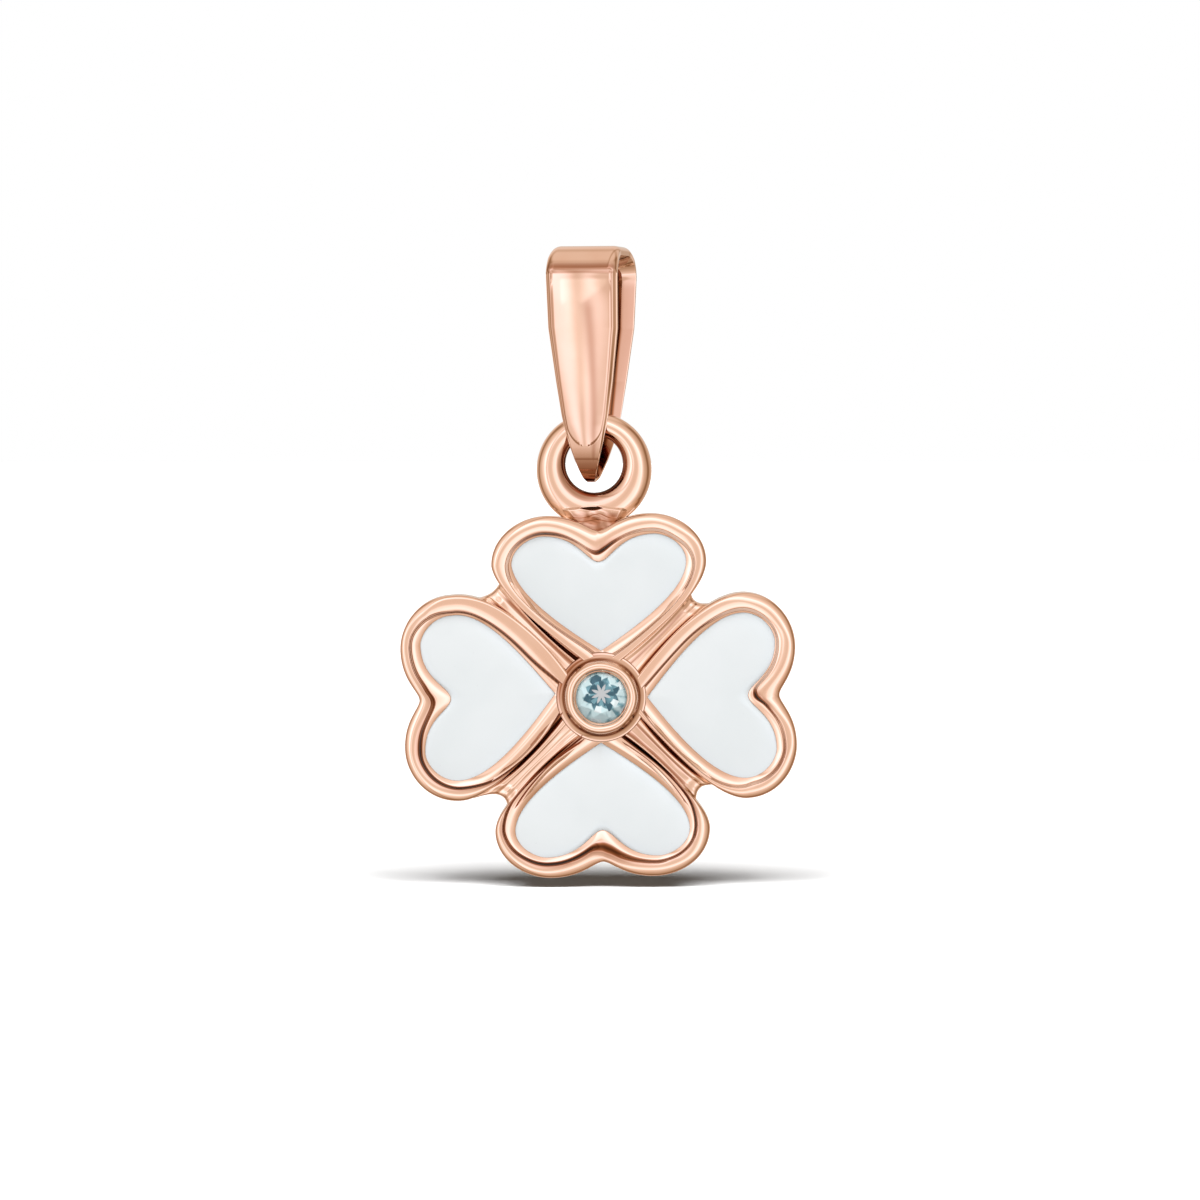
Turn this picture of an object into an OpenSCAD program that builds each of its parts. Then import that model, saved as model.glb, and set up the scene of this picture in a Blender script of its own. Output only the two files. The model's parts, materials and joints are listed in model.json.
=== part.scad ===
// Four-leaf clover pendant: a tapered bail, a soldered frame of four hearts round a bezel,
// white enamel in each heart, and one round stone in the middle.
// The origin is the inside top of the bail, where the chain sits. The front faces -Y.

/* [Bail] */
// Width of the bail's strip at its shoulders
bail_w = 2.2; // [1.8:0.05:2.6]
// Depth of the bail from front to back at its shoulders
bail_depth = 3.1; // [2.8:0.05:3.6]
// Thickness of the bail's strip
bail_t = 0.44; // [0.35:0.01:0.55]
// Thickness of metal at the bail's tip
bail_tip_t = 0.66; // [0.5:0.01:0.8]
// Outer radius of the bail's shoulders
bail_shoulder_r = 1.05; // [0.8:0.05:1.3]
// Drop from the inside top of the bail to the middle of the eye's wire
eye_drop = 5.0; // [4.4:0.05:5.6]
// Turn of the bail about the vertical, out of the clover's plane
bail_turn = 13; // [0:1:16]

/* [Eye] */
// Diameter of the eye's hole
eye_hole_d = 1.75; // [1.6:0.05:2.2]
// Outside diameter of the eye
eye_d = 3.53; // [3.4:0.01:4]
// Width of the eye's wire at its top, seen from the front
eye_top_w = 0.71; // [0.6:0.01:0.8]
// Thickness of the eye from front to back
eye_t = 0.74; // [0.6:0.01:0.85]
// Sideways place of the eye from the bail's middle
eye_x = 0.08; // [-0.1:0.01:0.15]

/* [Clover] */
// Reach of the top heart, from the clover's middle to the outside of its lobes
top_reach = 5.57; // [5.3:0.01:5.9]
// Reach of the left heart
left_reach = 6.08; // [5.8:0.01:6.4]
// Reach of the bottom heart
bottom_reach = 5.52; // [5.3:0.01:5.9]
// Reach of the right heart
right_reach = 5.96; // [5.8:0.01:6.4]
// Outside width of the top and bottom hearts
upright_heart_w = 6.58; // [6.3:0.02:6.8]
// Outside width of the left and right hearts
side_heart_w = 6.3; // [6.1:0.02:6.5]
// Width of the raised rim round each heart
rim_w = 0.62; // [0.5:0.01:0.7]
// Height of the rim's rounded top
rim_round_h = 0.32; // [0.25:0.01:0.4]
// Thickness of the clover from the rims' tops to its back
clover_t = 1.45; // [1.3:0.05:1.7]
// Depth of the clover's middle plane behind the eye's, which sets how straight it hangs
clover_y = -0.09; // [-0.12:0.01:0.1]
// Thickness of the metal behind the enamel
back_t = 0.4; // [0.3:0.05:0.5]
// Sideways place of the clover's middle from the bail's middle
clover_x = 0.3; // [0.1:0.01:0.4]
// Lean of the clover in its own plane, in degrees
clover_lean = 0.5; // [-1:0.1:1]
// Width of the bars between the hearts, at the bezel
bar_w = 0.56; // [0.45:0.01:0.65]
// Depth of the bars' faces below the rims' tops
bar_drop = 0.3; // [0.22:0.01:0.4]

/* [Enamel] */
// Depth of the enamel's edge below the rims' tops
enamel_drop = 0.3; // [0.22:0.01:0.38]
// Rise of the enamel from its edge to its middle
enamel_crown = 0.1; // [0.04:0.01:0.16]
// Gap between the enamel and its cell
enamel_gap = 0.02; // [0.01:0.01:0.04]

/* [Bezel and stone] */
// Outside diameter of the bezel's rim
bezel_d = 2.26; // [2.2:0.01:2.4]
// Diameter of the opening round the stone
bezel_open_d = 1.54; // [1.48:0.01:1.58]
// Diameter of the cup under the bezel's rim
cup_d = 2.76; // [2.6:0.01:3]
// Height of the bezel's rim above the hearts' rims
bezel_rise = 0.38; // [0.3:0.01:0.5]
// Diameter of the open hole behind the stone
cup_hole_d = 0.9; // [0.7:0.05:1]
// Diameter of the stone at its girdle
stone_d = 1.7; // [1.66:0.01:1.78]
// Height of the stone above its girdle
crown_h = 0.26; // [0.2:0.01:0.3]
// Depth of the stone below its girdle
pavilion_h = 0.72; // [0.6:0.01:0.78]
// Depth of the stone's table below the bezel's top
table_drop = 0.07; // [0.03:0.01:0.12]

/* [Hidden] */

// Running gap between the bail's legs and the eye's wire, on each side
seat_gap = 0.06;
// Gap between the bail's tip and the bottom of the eye's hole
tip_gap = 0.13;
// Gap between the stone and its seat
stone_gap = 0.02;
// Thickness of the stone's girdle
girdle_t = 0.05;
// Gap between the tips of the enamel cells and the cup
cell_gap = 0.03;
// Width of the rounded shoulders along the bars
bar_shoulder = 0.1;
// Depth of the webs below the bars' faces
web_drop = 0.15;
// Step in from the clover's outside to the plates behind the enamel
back_step = 0.05;
// Height of the rounded top of the bezel's rim
bezel_round_h = 0.16;
// Width and height of the small fillet at the bezel's foot
bezel_foot = 0.04;
// Chamfer round the back of the cup
cup_chamfer = 0.06;
// Depth of the cup's edge below the hearts' rims
cup_drop = 0.15;
// Height of the eye above the bottom of the top heart's notch, bridged with solder
solder_h = 0.08;

// Depth of each face, measured from the front to the back
front_y = clover_y - clover_t / 2;
back_y = clover_y + clover_t / 2;
floor_y = back_y - back_t;
rim_side_y = front_y + rim_round_h;
enamel_y = front_y + enamel_drop;
bar_y = front_y + bar_drop;
bezel_y = front_y - bezel_rise;
girdle_y = bezel_y + table_drop + crown_h;

// Heights of the eye and the clover below the origin
eye_hole_z = -eye_drop - eye_top_w / 2 - eye_hole_d / 2;
eye_z = -eye_drop + eye_top_w / 2 - eye_d / 2;
notch_share = 0.915;
clover_z = eye_z - eye_d / 2 - solder_h - notch_share * top_reach;

// Each heart's direction, its own twist about its middle, its reach and its half width, and how
// far its rim is drawn in along its two sides, as shares of the rim's width, to narrow it there
TURN = 0;
TWIST = 1;
REACH = 2;
HALF_W = 3;
DRAWN = 4;
TOP = [90.5, 0.6, top_reach, upright_heart_w / 2, [0.48, 0.24]];
RIGHT = [0, 0.6, right_reach, side_heart_w / 2, [0, 0.4]];
BOTTOM = [270, 0.6, bottom_reach, upright_heart_w / 2, [0.56, 0.52]];
LEFT = [179.7, 2.4, left_reach, side_heart_w / 2, [0.32, -0.56]];
HEARTS = [TOP, RIGHT, BOTTOM, LEFT];

// Place of a heart's inner tip, just clear of the cup when drawn in by the rim's width, and how
// far it moves along for each millimetre that the outline is drawn inwards
tip_move = 1.3;
tip_along = cup_d / 2 + cell_gap - tip_move * rim_w;

// Control points of half a heart's outside, from behind the tip round the lobe to the notch.
// Columns: share of the reach, share of the half width, how far the point moves along and
// across for each millimetre that the outline is drawn inwards, and the part that it has in
// the narrowing of the rim's side.
HEART_CURVE = [
    [0.210, 0.264, tip_move, 0.00, 1],
    [0.500, 1.000, 0.55, -1.00, 1],
    [0.735, 1.000, 0.00, -1.00, 0],
    [0.893, 1.000, -0.60, -1.00, 0],
    [1.000, 0.740, -1.00, -0.55, 0],
    [1.000, 0.480, -1.00, 0.20, 0],
    [1.000, 0.190, -1.00, 0.00, 0],
    [notch_share, 0.080, -1.55, 0.15, 0],
    [notch_share, 0.000, -1.55, 0.00, 0]
];
// Points on each of the three curves of half a heart
CURVE_STEPS = 7;
// Share of the reach at which a heart's middle lies
middle_share = 0.62;

// Section of a rim, from the back of its outer wall over the top and down to its inner edge.
// Columns: share of the rim's width from the outside, share of the round, and share of the wall.
RIM_SECTION = [
    [0.14, 0.00, 1.00],
    [0.00, 0.00, 0.88],
    [0.00, 0.00, 0.00],
    [0.07, 0.48, 0.00],
    [0.22, 0.83, 0.00],
    [0.50, 1.00, 0.00],
    [0.78, 0.83, 0.00],
    [0.94, 0.40, 0.00],
    [1.00, 0.06, 0.00],
    [1.00, 0.00, 1.00]
];

function cubic(c, k, t) = pow(1 - t, 3) * c[k] + 3 * pow(1 - t, 2) * t * c[k + 1]
    + 3 * (1 - t) * t * t * c[k + 2] + pow(t, 3) * c[k + 3];
function spin2(p, a) = [p[0] * cos(a) - p[1] * sin(a), p[0] * sin(a) + p[1] * cos(a)];

// Half a heart's outline at an inset, from the tip to the notch, along and across
function heart_half(heart, inset, drawn) =
    let (pull = drawn * max(0, rim_w - inset),
         c = concat([[tip_along + tip_move * inset, 0]], [for (r = HEART_CURVE)
             [r[0] * heart[REACH] + r[2] * inset + r[4] * pull,
              r[1] * heart[HALF_W] + r[3] * inset]]))
    concat([for (k = [0:3:6], i = [0:CURVE_STEPS - 1]) cubic(c, k, i / CURVE_STEPS)], [c[9]]);

// A point of a heart, set at its place round the clover's middle
function place(heart, p) =
    let (mid = [middle_share * heart[REACH], 0])
    spin2(mid + spin2(p - mid, heart[TWIST]), heart[TURN]);

// The whole outline at an inset, drawn towards the heart's middle by a share of its size
function heart_outline(heart, inset, share = 1) =
    let (a = heart_half(heart, inset, heart[DRAWN][0]),
         b = heart_half(heart, inset, heart[DRAWN][1]),
         n = len(a), mid = [middle_share * heart[REACH], 0])
    [for (i = [0:2 * n - 3])
        let (p = i < n ? a[i] : [b[2 * n - 2 - i][0], -b[2 * n - 2 - i][1]])
        place(heart, mid + share * (p - mid))];

// Triangles of a closed skin of n sections with m points each; it joins its own end if looped
function skin(n, m, looped) = [for (i = [0:(looped ? n : n - 1) - 1], j = [0:m - 1])
    let (a = i * m + j, b = i * m + (j + 1) % m,
         c = ((i + 1) % n) * m + j, d = ((i + 1) % n) * m + (j + 1) % m)
    each [[a, d, b], [a, c, d]]];

module slab(outline, from_y, to_y) {
    translate([0, to_y, 0]) rotate([90, 0, 0]) linear_extrude(to_y - from_y) polygon(outline);
}

module heart_rim(heart) {
    rings = [for (s = RIM_SECTION) heart_outline(heart, s[0] * rim_w)];
    m = len(RIM_SECTION);
    n = len(rings[0]);
    points = [for (i = [0:n - 1], j = [0:m - 1])
        let (s = RIM_SECTION[j])
        [rings[j][i][0],
         rim_side_y - s[1] * rim_round_h + s[2] * (back_y - rim_side_y),
         rings[j][i][1]]];
    polyhedron(points, skin(n, m, true));
}

module heart_back(heart) {
    slab(heart_outline(heart, rim_w / 2), floor_y, back_y - back_step);
}

// The bars between the hearts. Columns: direction, distance from the clover's middle to where
// the neighbouring rims part as a share of their mean reach, share of the bars' width, and the
// two neighbours.
BARS = [
    [44.5, 0.716, 0.80, RIGHT, TOP],
    [134.7, 0.790, 0.72, TOP, LEFT],
    [224.4, 0.741, 1.06, LEFT, BOTTOM],
    [315.7, 0.723, 1.00, BOTTOM, RIGHT]
];
// Share of a bar's width that is left at its end, and half width of the web there
bar_end_share = 0.62;
web_end = 0.4;
// Length of the pieces that the bars and webs are spanned between
span_l = 0.1;

// A bar with rounded shoulders, and the web behind it that joins the two rims
module bar(angle, reach, w) {
    start = cup_d / 4;
    end_w = bar_end_share * w;
    depth = back_y - bar_y - bar_shoulder;
    rotate([0, -angle, 0]) {
        hull() {
            translate([start, bar_y + bar_shoulder, -w / 2])
                cube([span_l, depth - bar_shoulder, w]);
            translate([start, bar_y, -w / 2 + bar_shoulder])
                cube([span_l, depth, w - 2 * bar_shoulder]);
            translate([reach - span_l, bar_y + bar_shoulder, -end_w / 2])
                cube([span_l, depth - bar_shoulder, end_w]);
            translate([reach - 2 * span_l, bar_y, -end_w / 2 + bar_shoulder])
                cube([span_l, depth, end_w - 2 * bar_shoulder]);
        }
        hull() {
            translate([start, bar_y + web_drop, -bar_w])
                cube([span_l, depth - web_drop, 2 * bar_w]);
            translate([reach - span_l, bar_y + web_drop, -web_end])
                cube([span_l, depth - web_drop, 2 * web_end]);
        }
    }
}

// Bezel and cup in one turned profile, whose height grows from the clover's back to the front
module bezel() {
    rim_r = bezel_d / 2;
    open_r = bezel_open_d / 2;
    seat_r = stone_d / 2 + stone_gap;
    cup_r = cup_d / 2;
    hole_r = cup_hole_d / 2;
    top = back_y - bezel_y - bezel_round_h;
    rims = back_y - front_y;
    girdle = back_y - girdle_y;
    seat_bottom = girdle - girdle_t - stone_gap;
    translate([0, back_y, 0]) rotate([90, 0, 0]) rotate_extrude($fn = 48) polygon(concat(
        [[hole_r, 0], [cup_r - cup_chamfer, 0], [cup_r, cup_chamfer], [cup_r, rims - cup_drop],
         [rim_r + bezel_foot, rims + bezel_foot], [rim_r, rims + 2 * bezel_foot]],
        [for (a = [0:30:180])
            [(rim_r + open_r) / 2 + (rim_r - open_r) / 2 * cos(a), top + bezel_round_h * sin(a)]],
        [[seat_r, girdle + stone_gap], [seat_r, seat_bottom],
         [hole_r, seat_bottom - pavilion_h * (seat_r - hole_r) / seat_r]]));
}

// The eye: a ring whose hole sits high, so that its wire grows from the top to the bottom
module eye() {
    n = 36;
    m = 12;
    rise = eye_hole_z - eye_z;
    hole_r = eye_hole_d / 2;
    points = [for (i = [0:n - 1])
        let (a = i * 360 / n,
             // Distance from the hole's middle to the outer circle along this direction
             out_r = -rise * sin(a) + sqrt(pow(eye_d / 2, 2) - pow(rise * cos(a), 2)),
             mid_r = (out_r + hole_r) / 2,
             half = (out_r - hole_r) / 2)
        for (j = [0:m - 1])
        let (b = j * 360 / m, r = mid_r + half * cos(b))
        [eye_x + r * cos(a), eye_t / 2 * sin(b), eye_hole_z + r * sin(a)]];
    polyhedron(points, skin(n, m, true));
}

// Solder between the eye and the top heart, wide at the lobes and drawn down into the notch.
// Columns, in shares of the eye's radius: place to the side, height above the notch and
// diameter, and last the depth from front to back as a share of the eye's thickness.
SOLDER = [[0.68, 0.24, 0.17, 0.8], [0.17, 0.30, 0.28, 1.08], [0.00, -0.07, 0.23, 1.2]];

module eye_solder() {
    r = eye_d / 2;
    notch_z = clover_z + notch_share * top_reach;
    for (side = [-1, 1]) hull() for (s = SOLDER)
        translate([(s[0] > 0 ? eye_x : clover_x / 2) + side * s[0] * r, 0, notch_z + s[1] * r])
            rotate([90, 0, 0]) cylinder(d = s[2] * r, h = s[3] * eye_t, center = true, $fn = 16);
}

module in_clover() {
    translate([clover_x, 0, clover_z]) rotate([0, -clover_lean, 0]) children();
}

module clover_frame() {
    color([0.93, 0.72, 0.62]) union() {
        in_clover() {
            difference() {
                union() {
                    for (h = HEARTS) {
                        heart_rim(h);
                        heart_back(h);
                    }
                    for (b = BARS)
                        bar(b[0], b[1] * (b[3][REACH] + b[4][REACH]) / 2, b[2] * bar_w);
                }
                rotate([90, 0, 0])
                    cylinder(d = bezel_d + 2 * bezel_foot, h = 2 * clover_t, center = true, $fn = 48);
            }
            bezel();
        }
        eye();
        eye_solder();
    }
}

module enamel(heart) {
    inset = rim_w + enamel_gap;
    // Share of the outline kept by each ring, and share of the crown's rise that it has
    rings = [[0.25, 0.97], [0.55, 0.8], [0.82, 0.45], [1, 0]];
    dome = [for (r = rings, p = heart_outline(heart, inset, r[0]))
        [p[0], enamel_y - r[1] * enamel_crown, p[1]]];
    foot = [for (p = heart_outline(heart, inset)) [p[0], floor_y - enamel_gap, p[1]]];
    mid = place(heart, [middle_share * heart[REACH], 0]);
    n = len(foot);
    apex = len(dome) + n;
    points = concat(dome, foot, [[mid[0], enamel_y - enamel_crown, mid[1]]]);
    faces = concat(
        [for (i = [0:n - 1]) [apex, i, (i + 1) % n]],
        skin(len(rings) + 1, n, false),
        [[for (i = [n - 1:-1:0]) len(dome) + i]]);
    color("white") in_clover() polyhedron(points, faces);
}

module enamel_top() { enamel(TOP); }
module enamel_right() { enamel(RIGHT); }
module enamel_bottom() { enamel(BOTTOM); }
module enamel_left() { enamel(LEFT); }

// Reach of the stone's table corners, star tips and lower facets, as shares of its radius
table_share = 0.56;
star_share = 0.78;
lower_share = 0.24;

// A round brilliant: table, 8 stars, 8 kites, 16 upper and 16 lower triangles, 8 pavilion kites
module stone() {
    r = stone_d / 2;
    table_r = table_share * r;
    star_r = star_share * r;
    lower_r = lower_share * r;
    cos22 = cos(22.5);
    star_h = crown_h * (r - star_r * cos22) / (r - table_r);
    lower_h = pavilion_h * (1 - lower_r * cos22 / r);
    up = function (radius, angle, h) [radius * cos(angle), girdle_y - h, radius * sin(angle)];
    points = concat(
        [for (k = [0:7]) up(table_r, 45 * k, crown_h)],
        [for (k = [0:7]) up(star_r, 45 * k + 22.5, star_h)],
        [for (k = [0:15]) up(r, 22.5 * k, 0)],
        [for (k = [0:15]) up(r, 22.5 * k, -girdle_t)],
        [for (k = [0:7]) up(lower_r, 45 * k + 22.5, -girdle_t - lower_h)],
        [up(0, 0, -girdle_t - pavilion_h)]);
    star = 8;
    girdle = 16;
    under = 32;
    lower = 48;
    culet = 56;
    faces = concat(
        [[for (k = [7:-1:0]) k]],
        [for (k = [0:7])
            let (next = (k + 1) % 8, back = (k + 7) % 8, g = girdle + 2 * k,
                 g1 = g + 1, g2 = girdle + (2 * k + 2) % 16,
                 u = under + 2 * k, u1 = u + 1, u2 = under + (2 * k + 2) % 16)
            each [
                [k, next, star + k],
                [k, star + k, g], [k, g, star + back],
                [g, star + k, g1], [g1, star + k, g2],
                [g, u1, u], [g, g1, u1], [g1, u2, u1], [g1, g2, u2],
                [u, u1, lower + k], [u1, u2, lower + k],
                [u, lower + k, culet], [u, culet, lower + back]
            ]]);
    color([0.62, 0.83, 0.87]) in_clover() polyhedron(points, faces);
}

// Width of the bail's strip. Columns: share of the drop from the outside top to the tip,
// share of the strip's full width, and relief of its inner corners for the eye's swing.
BAIL_TAPER = [
    [0.00, 0.96, 0.00], [0.04, 1.00, 0.00], [0.12, 1.01, 0.00], [0.34, 0.98, 0.00],
    [0.56, 0.80, 0.10], [0.64, 0.72, 0.60], [0.70, 0.66, 1.00], [0.82, 0.49, 1.00],
    [0.90, 0.35, 1.00], [0.95, 0.25, 1.00], [1.00, 0.17, 1.00]
];
// Section of the bail's strip. Columns: share of the half width, share of the thickness, and
// how much each of the two changes at full relief.
BAIL_SECTION = [
    [-0.90, 0.00, 0.60, 0.00], [0.90, 0.00, -0.60, 0.00], [1.00, 0.14, 0.00, 0.44],
    [1.00, 0.58, 0.00, 0.10], [0.86, 0.86, 0.00, 0.00], [0.50, 0.96, 0.00, 0.00],
    [0.00, 1.00, 0.00, 0.00], [-0.50, 0.96, 0.00, 0.00], [-0.86, 0.86, 0.00, 0.00],
    [-1.00, 0.58, 0.00, 0.10], [-1.00, 0.14, 0.00, 0.44]
];

// A column of the taper at a share of the drop
function taper(share, column) = lookup(share, [for (t = BAIL_TAPER) [t[0], t[column]]]);

function unit(v) = v / norm(v);

// Pull of a cubic's handles that rounds a quarter turn, as a share of its radius
round_pull = 0.55;
// Pull of the handles along the bend at the bail's tip, as a share of the bend's height
tip_pull = 0.45;

// Half of one side of the bail's loop, depth and height, from the top's middle to the tip
function bail_half(top, half_depth, shoulder_r, seat_half, tip) =
    let (corner = [half_depth, top - shoulder_r],
         seat = [seat_half, -eye_drop],
         down = unit(seat - corner),
         bend = -eye_drop - tip,
         c = [[half_depth - shoulder_r, top], [half_depth - (1 - round_pull) * shoulder_r, top],
              corner - round_pull * shoulder_r * down, corner],
         e = [seat, seat + tip_pull * bend * down, [round_pull * seat_half, tip], [0, tip]])
    concat([[0, top]],
           [for (i = [0:5]) cubic(c, 0, i / 6)],
           [for (i = [0:3]) corner + (seat - corner) * i / 4],
           [for (i = [0:7]) cubic(e, 0, i / 8)],
           [[0, tip]]);

function mirrored(half) = let (n = len(half))
    [for (i = [0:2 * n - 3]) i < n ? [-half[i][0], half[i][1]] : half[2 * n - 2 - i]];

module bail() {
    tip = eye_hole_z - eye_hole_d / 2 + tip_gap;
    drop = bail_t - tip;
    seat_w = bail_w * taper((bail_t + eye_drop) / drop, 1);
    seat_half = eye_t / 2 + seat_w / 2 * sin(bail_turn) + seat_gap;
    outer = mirrored(bail_half(bail_t, bail_depth / 2, bail_shoulder_r, seat_half + bail_t, tip));
    inner = mirrored(bail_half(0, bail_depth / 2 - bail_t, bail_shoulder_r - bail_t,
        seat_half, tip + bail_tip_t));
    n = len(outer);
    m = len(BAIL_SECTION);
    points = [for (i = [0:n - 1])
        let (share = (bail_t - outer[i][1]) / drop,
             half = bail_w / 2 * taper(share, 1),
             relief = taper(share, 2))
        for (s = BAIL_SECTION)
        let (q = inner[i] + (s[1] + s[3] * relief) * (outer[i] - inner[i]))
        [(s[0] + s[2] * relief) * half, q[0], q[1]]];
    color([0.93, 0.72, 0.62]) rotate([0, 0, -bail_turn]) polyhedron(points, skin(n, m, true));
}

bail();
clover_frame();
enamel_top();
enamel_right();
enamel_bottom();
enamel_left();
stone();
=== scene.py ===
"""A four leaf clover pendant in rose gold, with white enamel and one pale blue stone.

Sizes are in millimetres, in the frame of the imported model: X to the right, Y away from the
viewer, Z up, and the origin at the inside top of the bail. MM turns them into metres where a
mesh is made, and a material's pattern sizes are given in repeats per metre.
"""

from __future__ import annotations

import json
import logging
from dataclasses import dataclass
from enum import Enum

import bpy
import numpy as np
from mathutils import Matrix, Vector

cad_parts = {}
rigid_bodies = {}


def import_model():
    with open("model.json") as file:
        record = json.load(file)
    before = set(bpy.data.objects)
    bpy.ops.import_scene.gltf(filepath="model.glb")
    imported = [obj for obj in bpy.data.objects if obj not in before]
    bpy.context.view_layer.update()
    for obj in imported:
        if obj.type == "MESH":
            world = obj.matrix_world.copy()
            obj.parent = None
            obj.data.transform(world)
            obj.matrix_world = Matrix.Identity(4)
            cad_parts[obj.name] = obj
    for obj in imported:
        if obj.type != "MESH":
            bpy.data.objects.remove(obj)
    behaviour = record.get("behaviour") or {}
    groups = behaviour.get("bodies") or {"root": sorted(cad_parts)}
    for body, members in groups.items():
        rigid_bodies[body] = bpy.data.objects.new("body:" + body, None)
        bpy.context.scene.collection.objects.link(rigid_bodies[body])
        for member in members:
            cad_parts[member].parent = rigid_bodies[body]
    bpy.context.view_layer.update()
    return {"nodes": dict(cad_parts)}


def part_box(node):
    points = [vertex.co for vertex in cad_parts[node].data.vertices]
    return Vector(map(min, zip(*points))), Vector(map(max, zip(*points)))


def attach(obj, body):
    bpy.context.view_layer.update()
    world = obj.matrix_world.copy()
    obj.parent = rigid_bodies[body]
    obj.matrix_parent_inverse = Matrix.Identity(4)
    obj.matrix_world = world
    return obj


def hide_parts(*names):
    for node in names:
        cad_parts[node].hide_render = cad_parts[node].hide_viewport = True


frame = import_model()

Array = np.ndarray
Colour = tuple[float, float, float, float]
Span = tuple[float, float]
MM = 0.001
LOG = logging.getLogger("clover_pendant")


class Body(Enum):
    """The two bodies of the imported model."""

    BAIL = "bail"
    CLOVER = "clover"


class Slot(Enum):
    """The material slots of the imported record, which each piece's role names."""

    GOLD = "rose_gold"
    ENAMEL = "white_enamel"


# Numbers used by every shape


def smooth(x: Array, low: float, high: float) -> Array:
    """A soft step: 0 below low, 1 above high, and 3t^2 - 2t^3 between them.

    Args:
        x: The values to step.
        low: Where the step starts.
        high: Where the step ends.

    Returns:
        The stepped values, from 0 to 1.
    """
    t = np.clip((x - low) / (high - low), 0.0, 1.0)
    return t * t * (3.0 - 2.0 * t)


def hump(x: Array, middle: float | Array, width: float | Array) -> Array:
    """A bell of height 1 at its middle: exp(-((x - middle) / width)^2).

    Args:
        x: The values to weigh.
        middle: Where the bell stands.
        width: The distance over which it falls to about a third.

    Returns:
        The weights, from 0 to 1.
    """
    return np.exp(-(((x - middle) / width) ** 2))


def facing(angle: Array, towards: float) -> Array:
    """How far an angle faces one way: (1 + cos(angle - towards)) / 2, from 0 to 1."""
    return 0.5 + 0.5 * np.cos(angle - towards)


def cubic(handles: Array, t: Array) -> Array:
    """A Bezier cubic: (1-t)^3 a + 3 (1-t)^2 t b + 3 (1-t) t^2 c + t^3 d.

    Args:
        handles: Four points a, b, c, d along the first axis, of any further shape.
        t: The shares of the way along the curve.

    Returns:
        The curve's points, with t along the first axis.
    """
    a, b, c, d = handles
    t = t.reshape((-1,) + (1,) * a.ndim)
    return (1 - t) ** 3 * a + 3 * (1 - t) ** 2 * t * b + 3 * (1 - t) * t**2 * c + t**3 * d


def spun(points: Array, degrees: float) -> Array:
    """Turns points of two coordinates anticlockwise about the origin.

    Args:
        points: The points, with their two coordinates on the last axis.
        degrees: The turn.

    Returns:
        The turned points.
    """
    a = np.radians(degrees)
    turn = np.array([[np.cos(a), np.sin(a)], [-np.sin(a), np.cos(a)]])
    return points @ turn


def ripple(points: Array, wave: float, seed: int) -> Array:
    """Unevenness as a sum of six plane waves, each with its own direction and phase.

    Args:
        points: Points of two or three coordinates, in millimetres.
        wave: The waves' mean length.
        seed: Seed of the directions and phases.

    Returns:
        A value from about -1 to 1 for each point.
    """
    rng = np.random.default_rng(seed)
    directions = rng.normal(size=(points.shape[-1], 6))
    directions *= rng.uniform(0.7, 1.5, 6) / np.linalg.norm(directions, axis=0)
    phases = rng.uniform(0.0, 2 * np.pi, 6)
    return np.sin(points @ directions * (2 * np.pi / wave) + phases).mean(-1) * 2.0


# Surfaces


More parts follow.
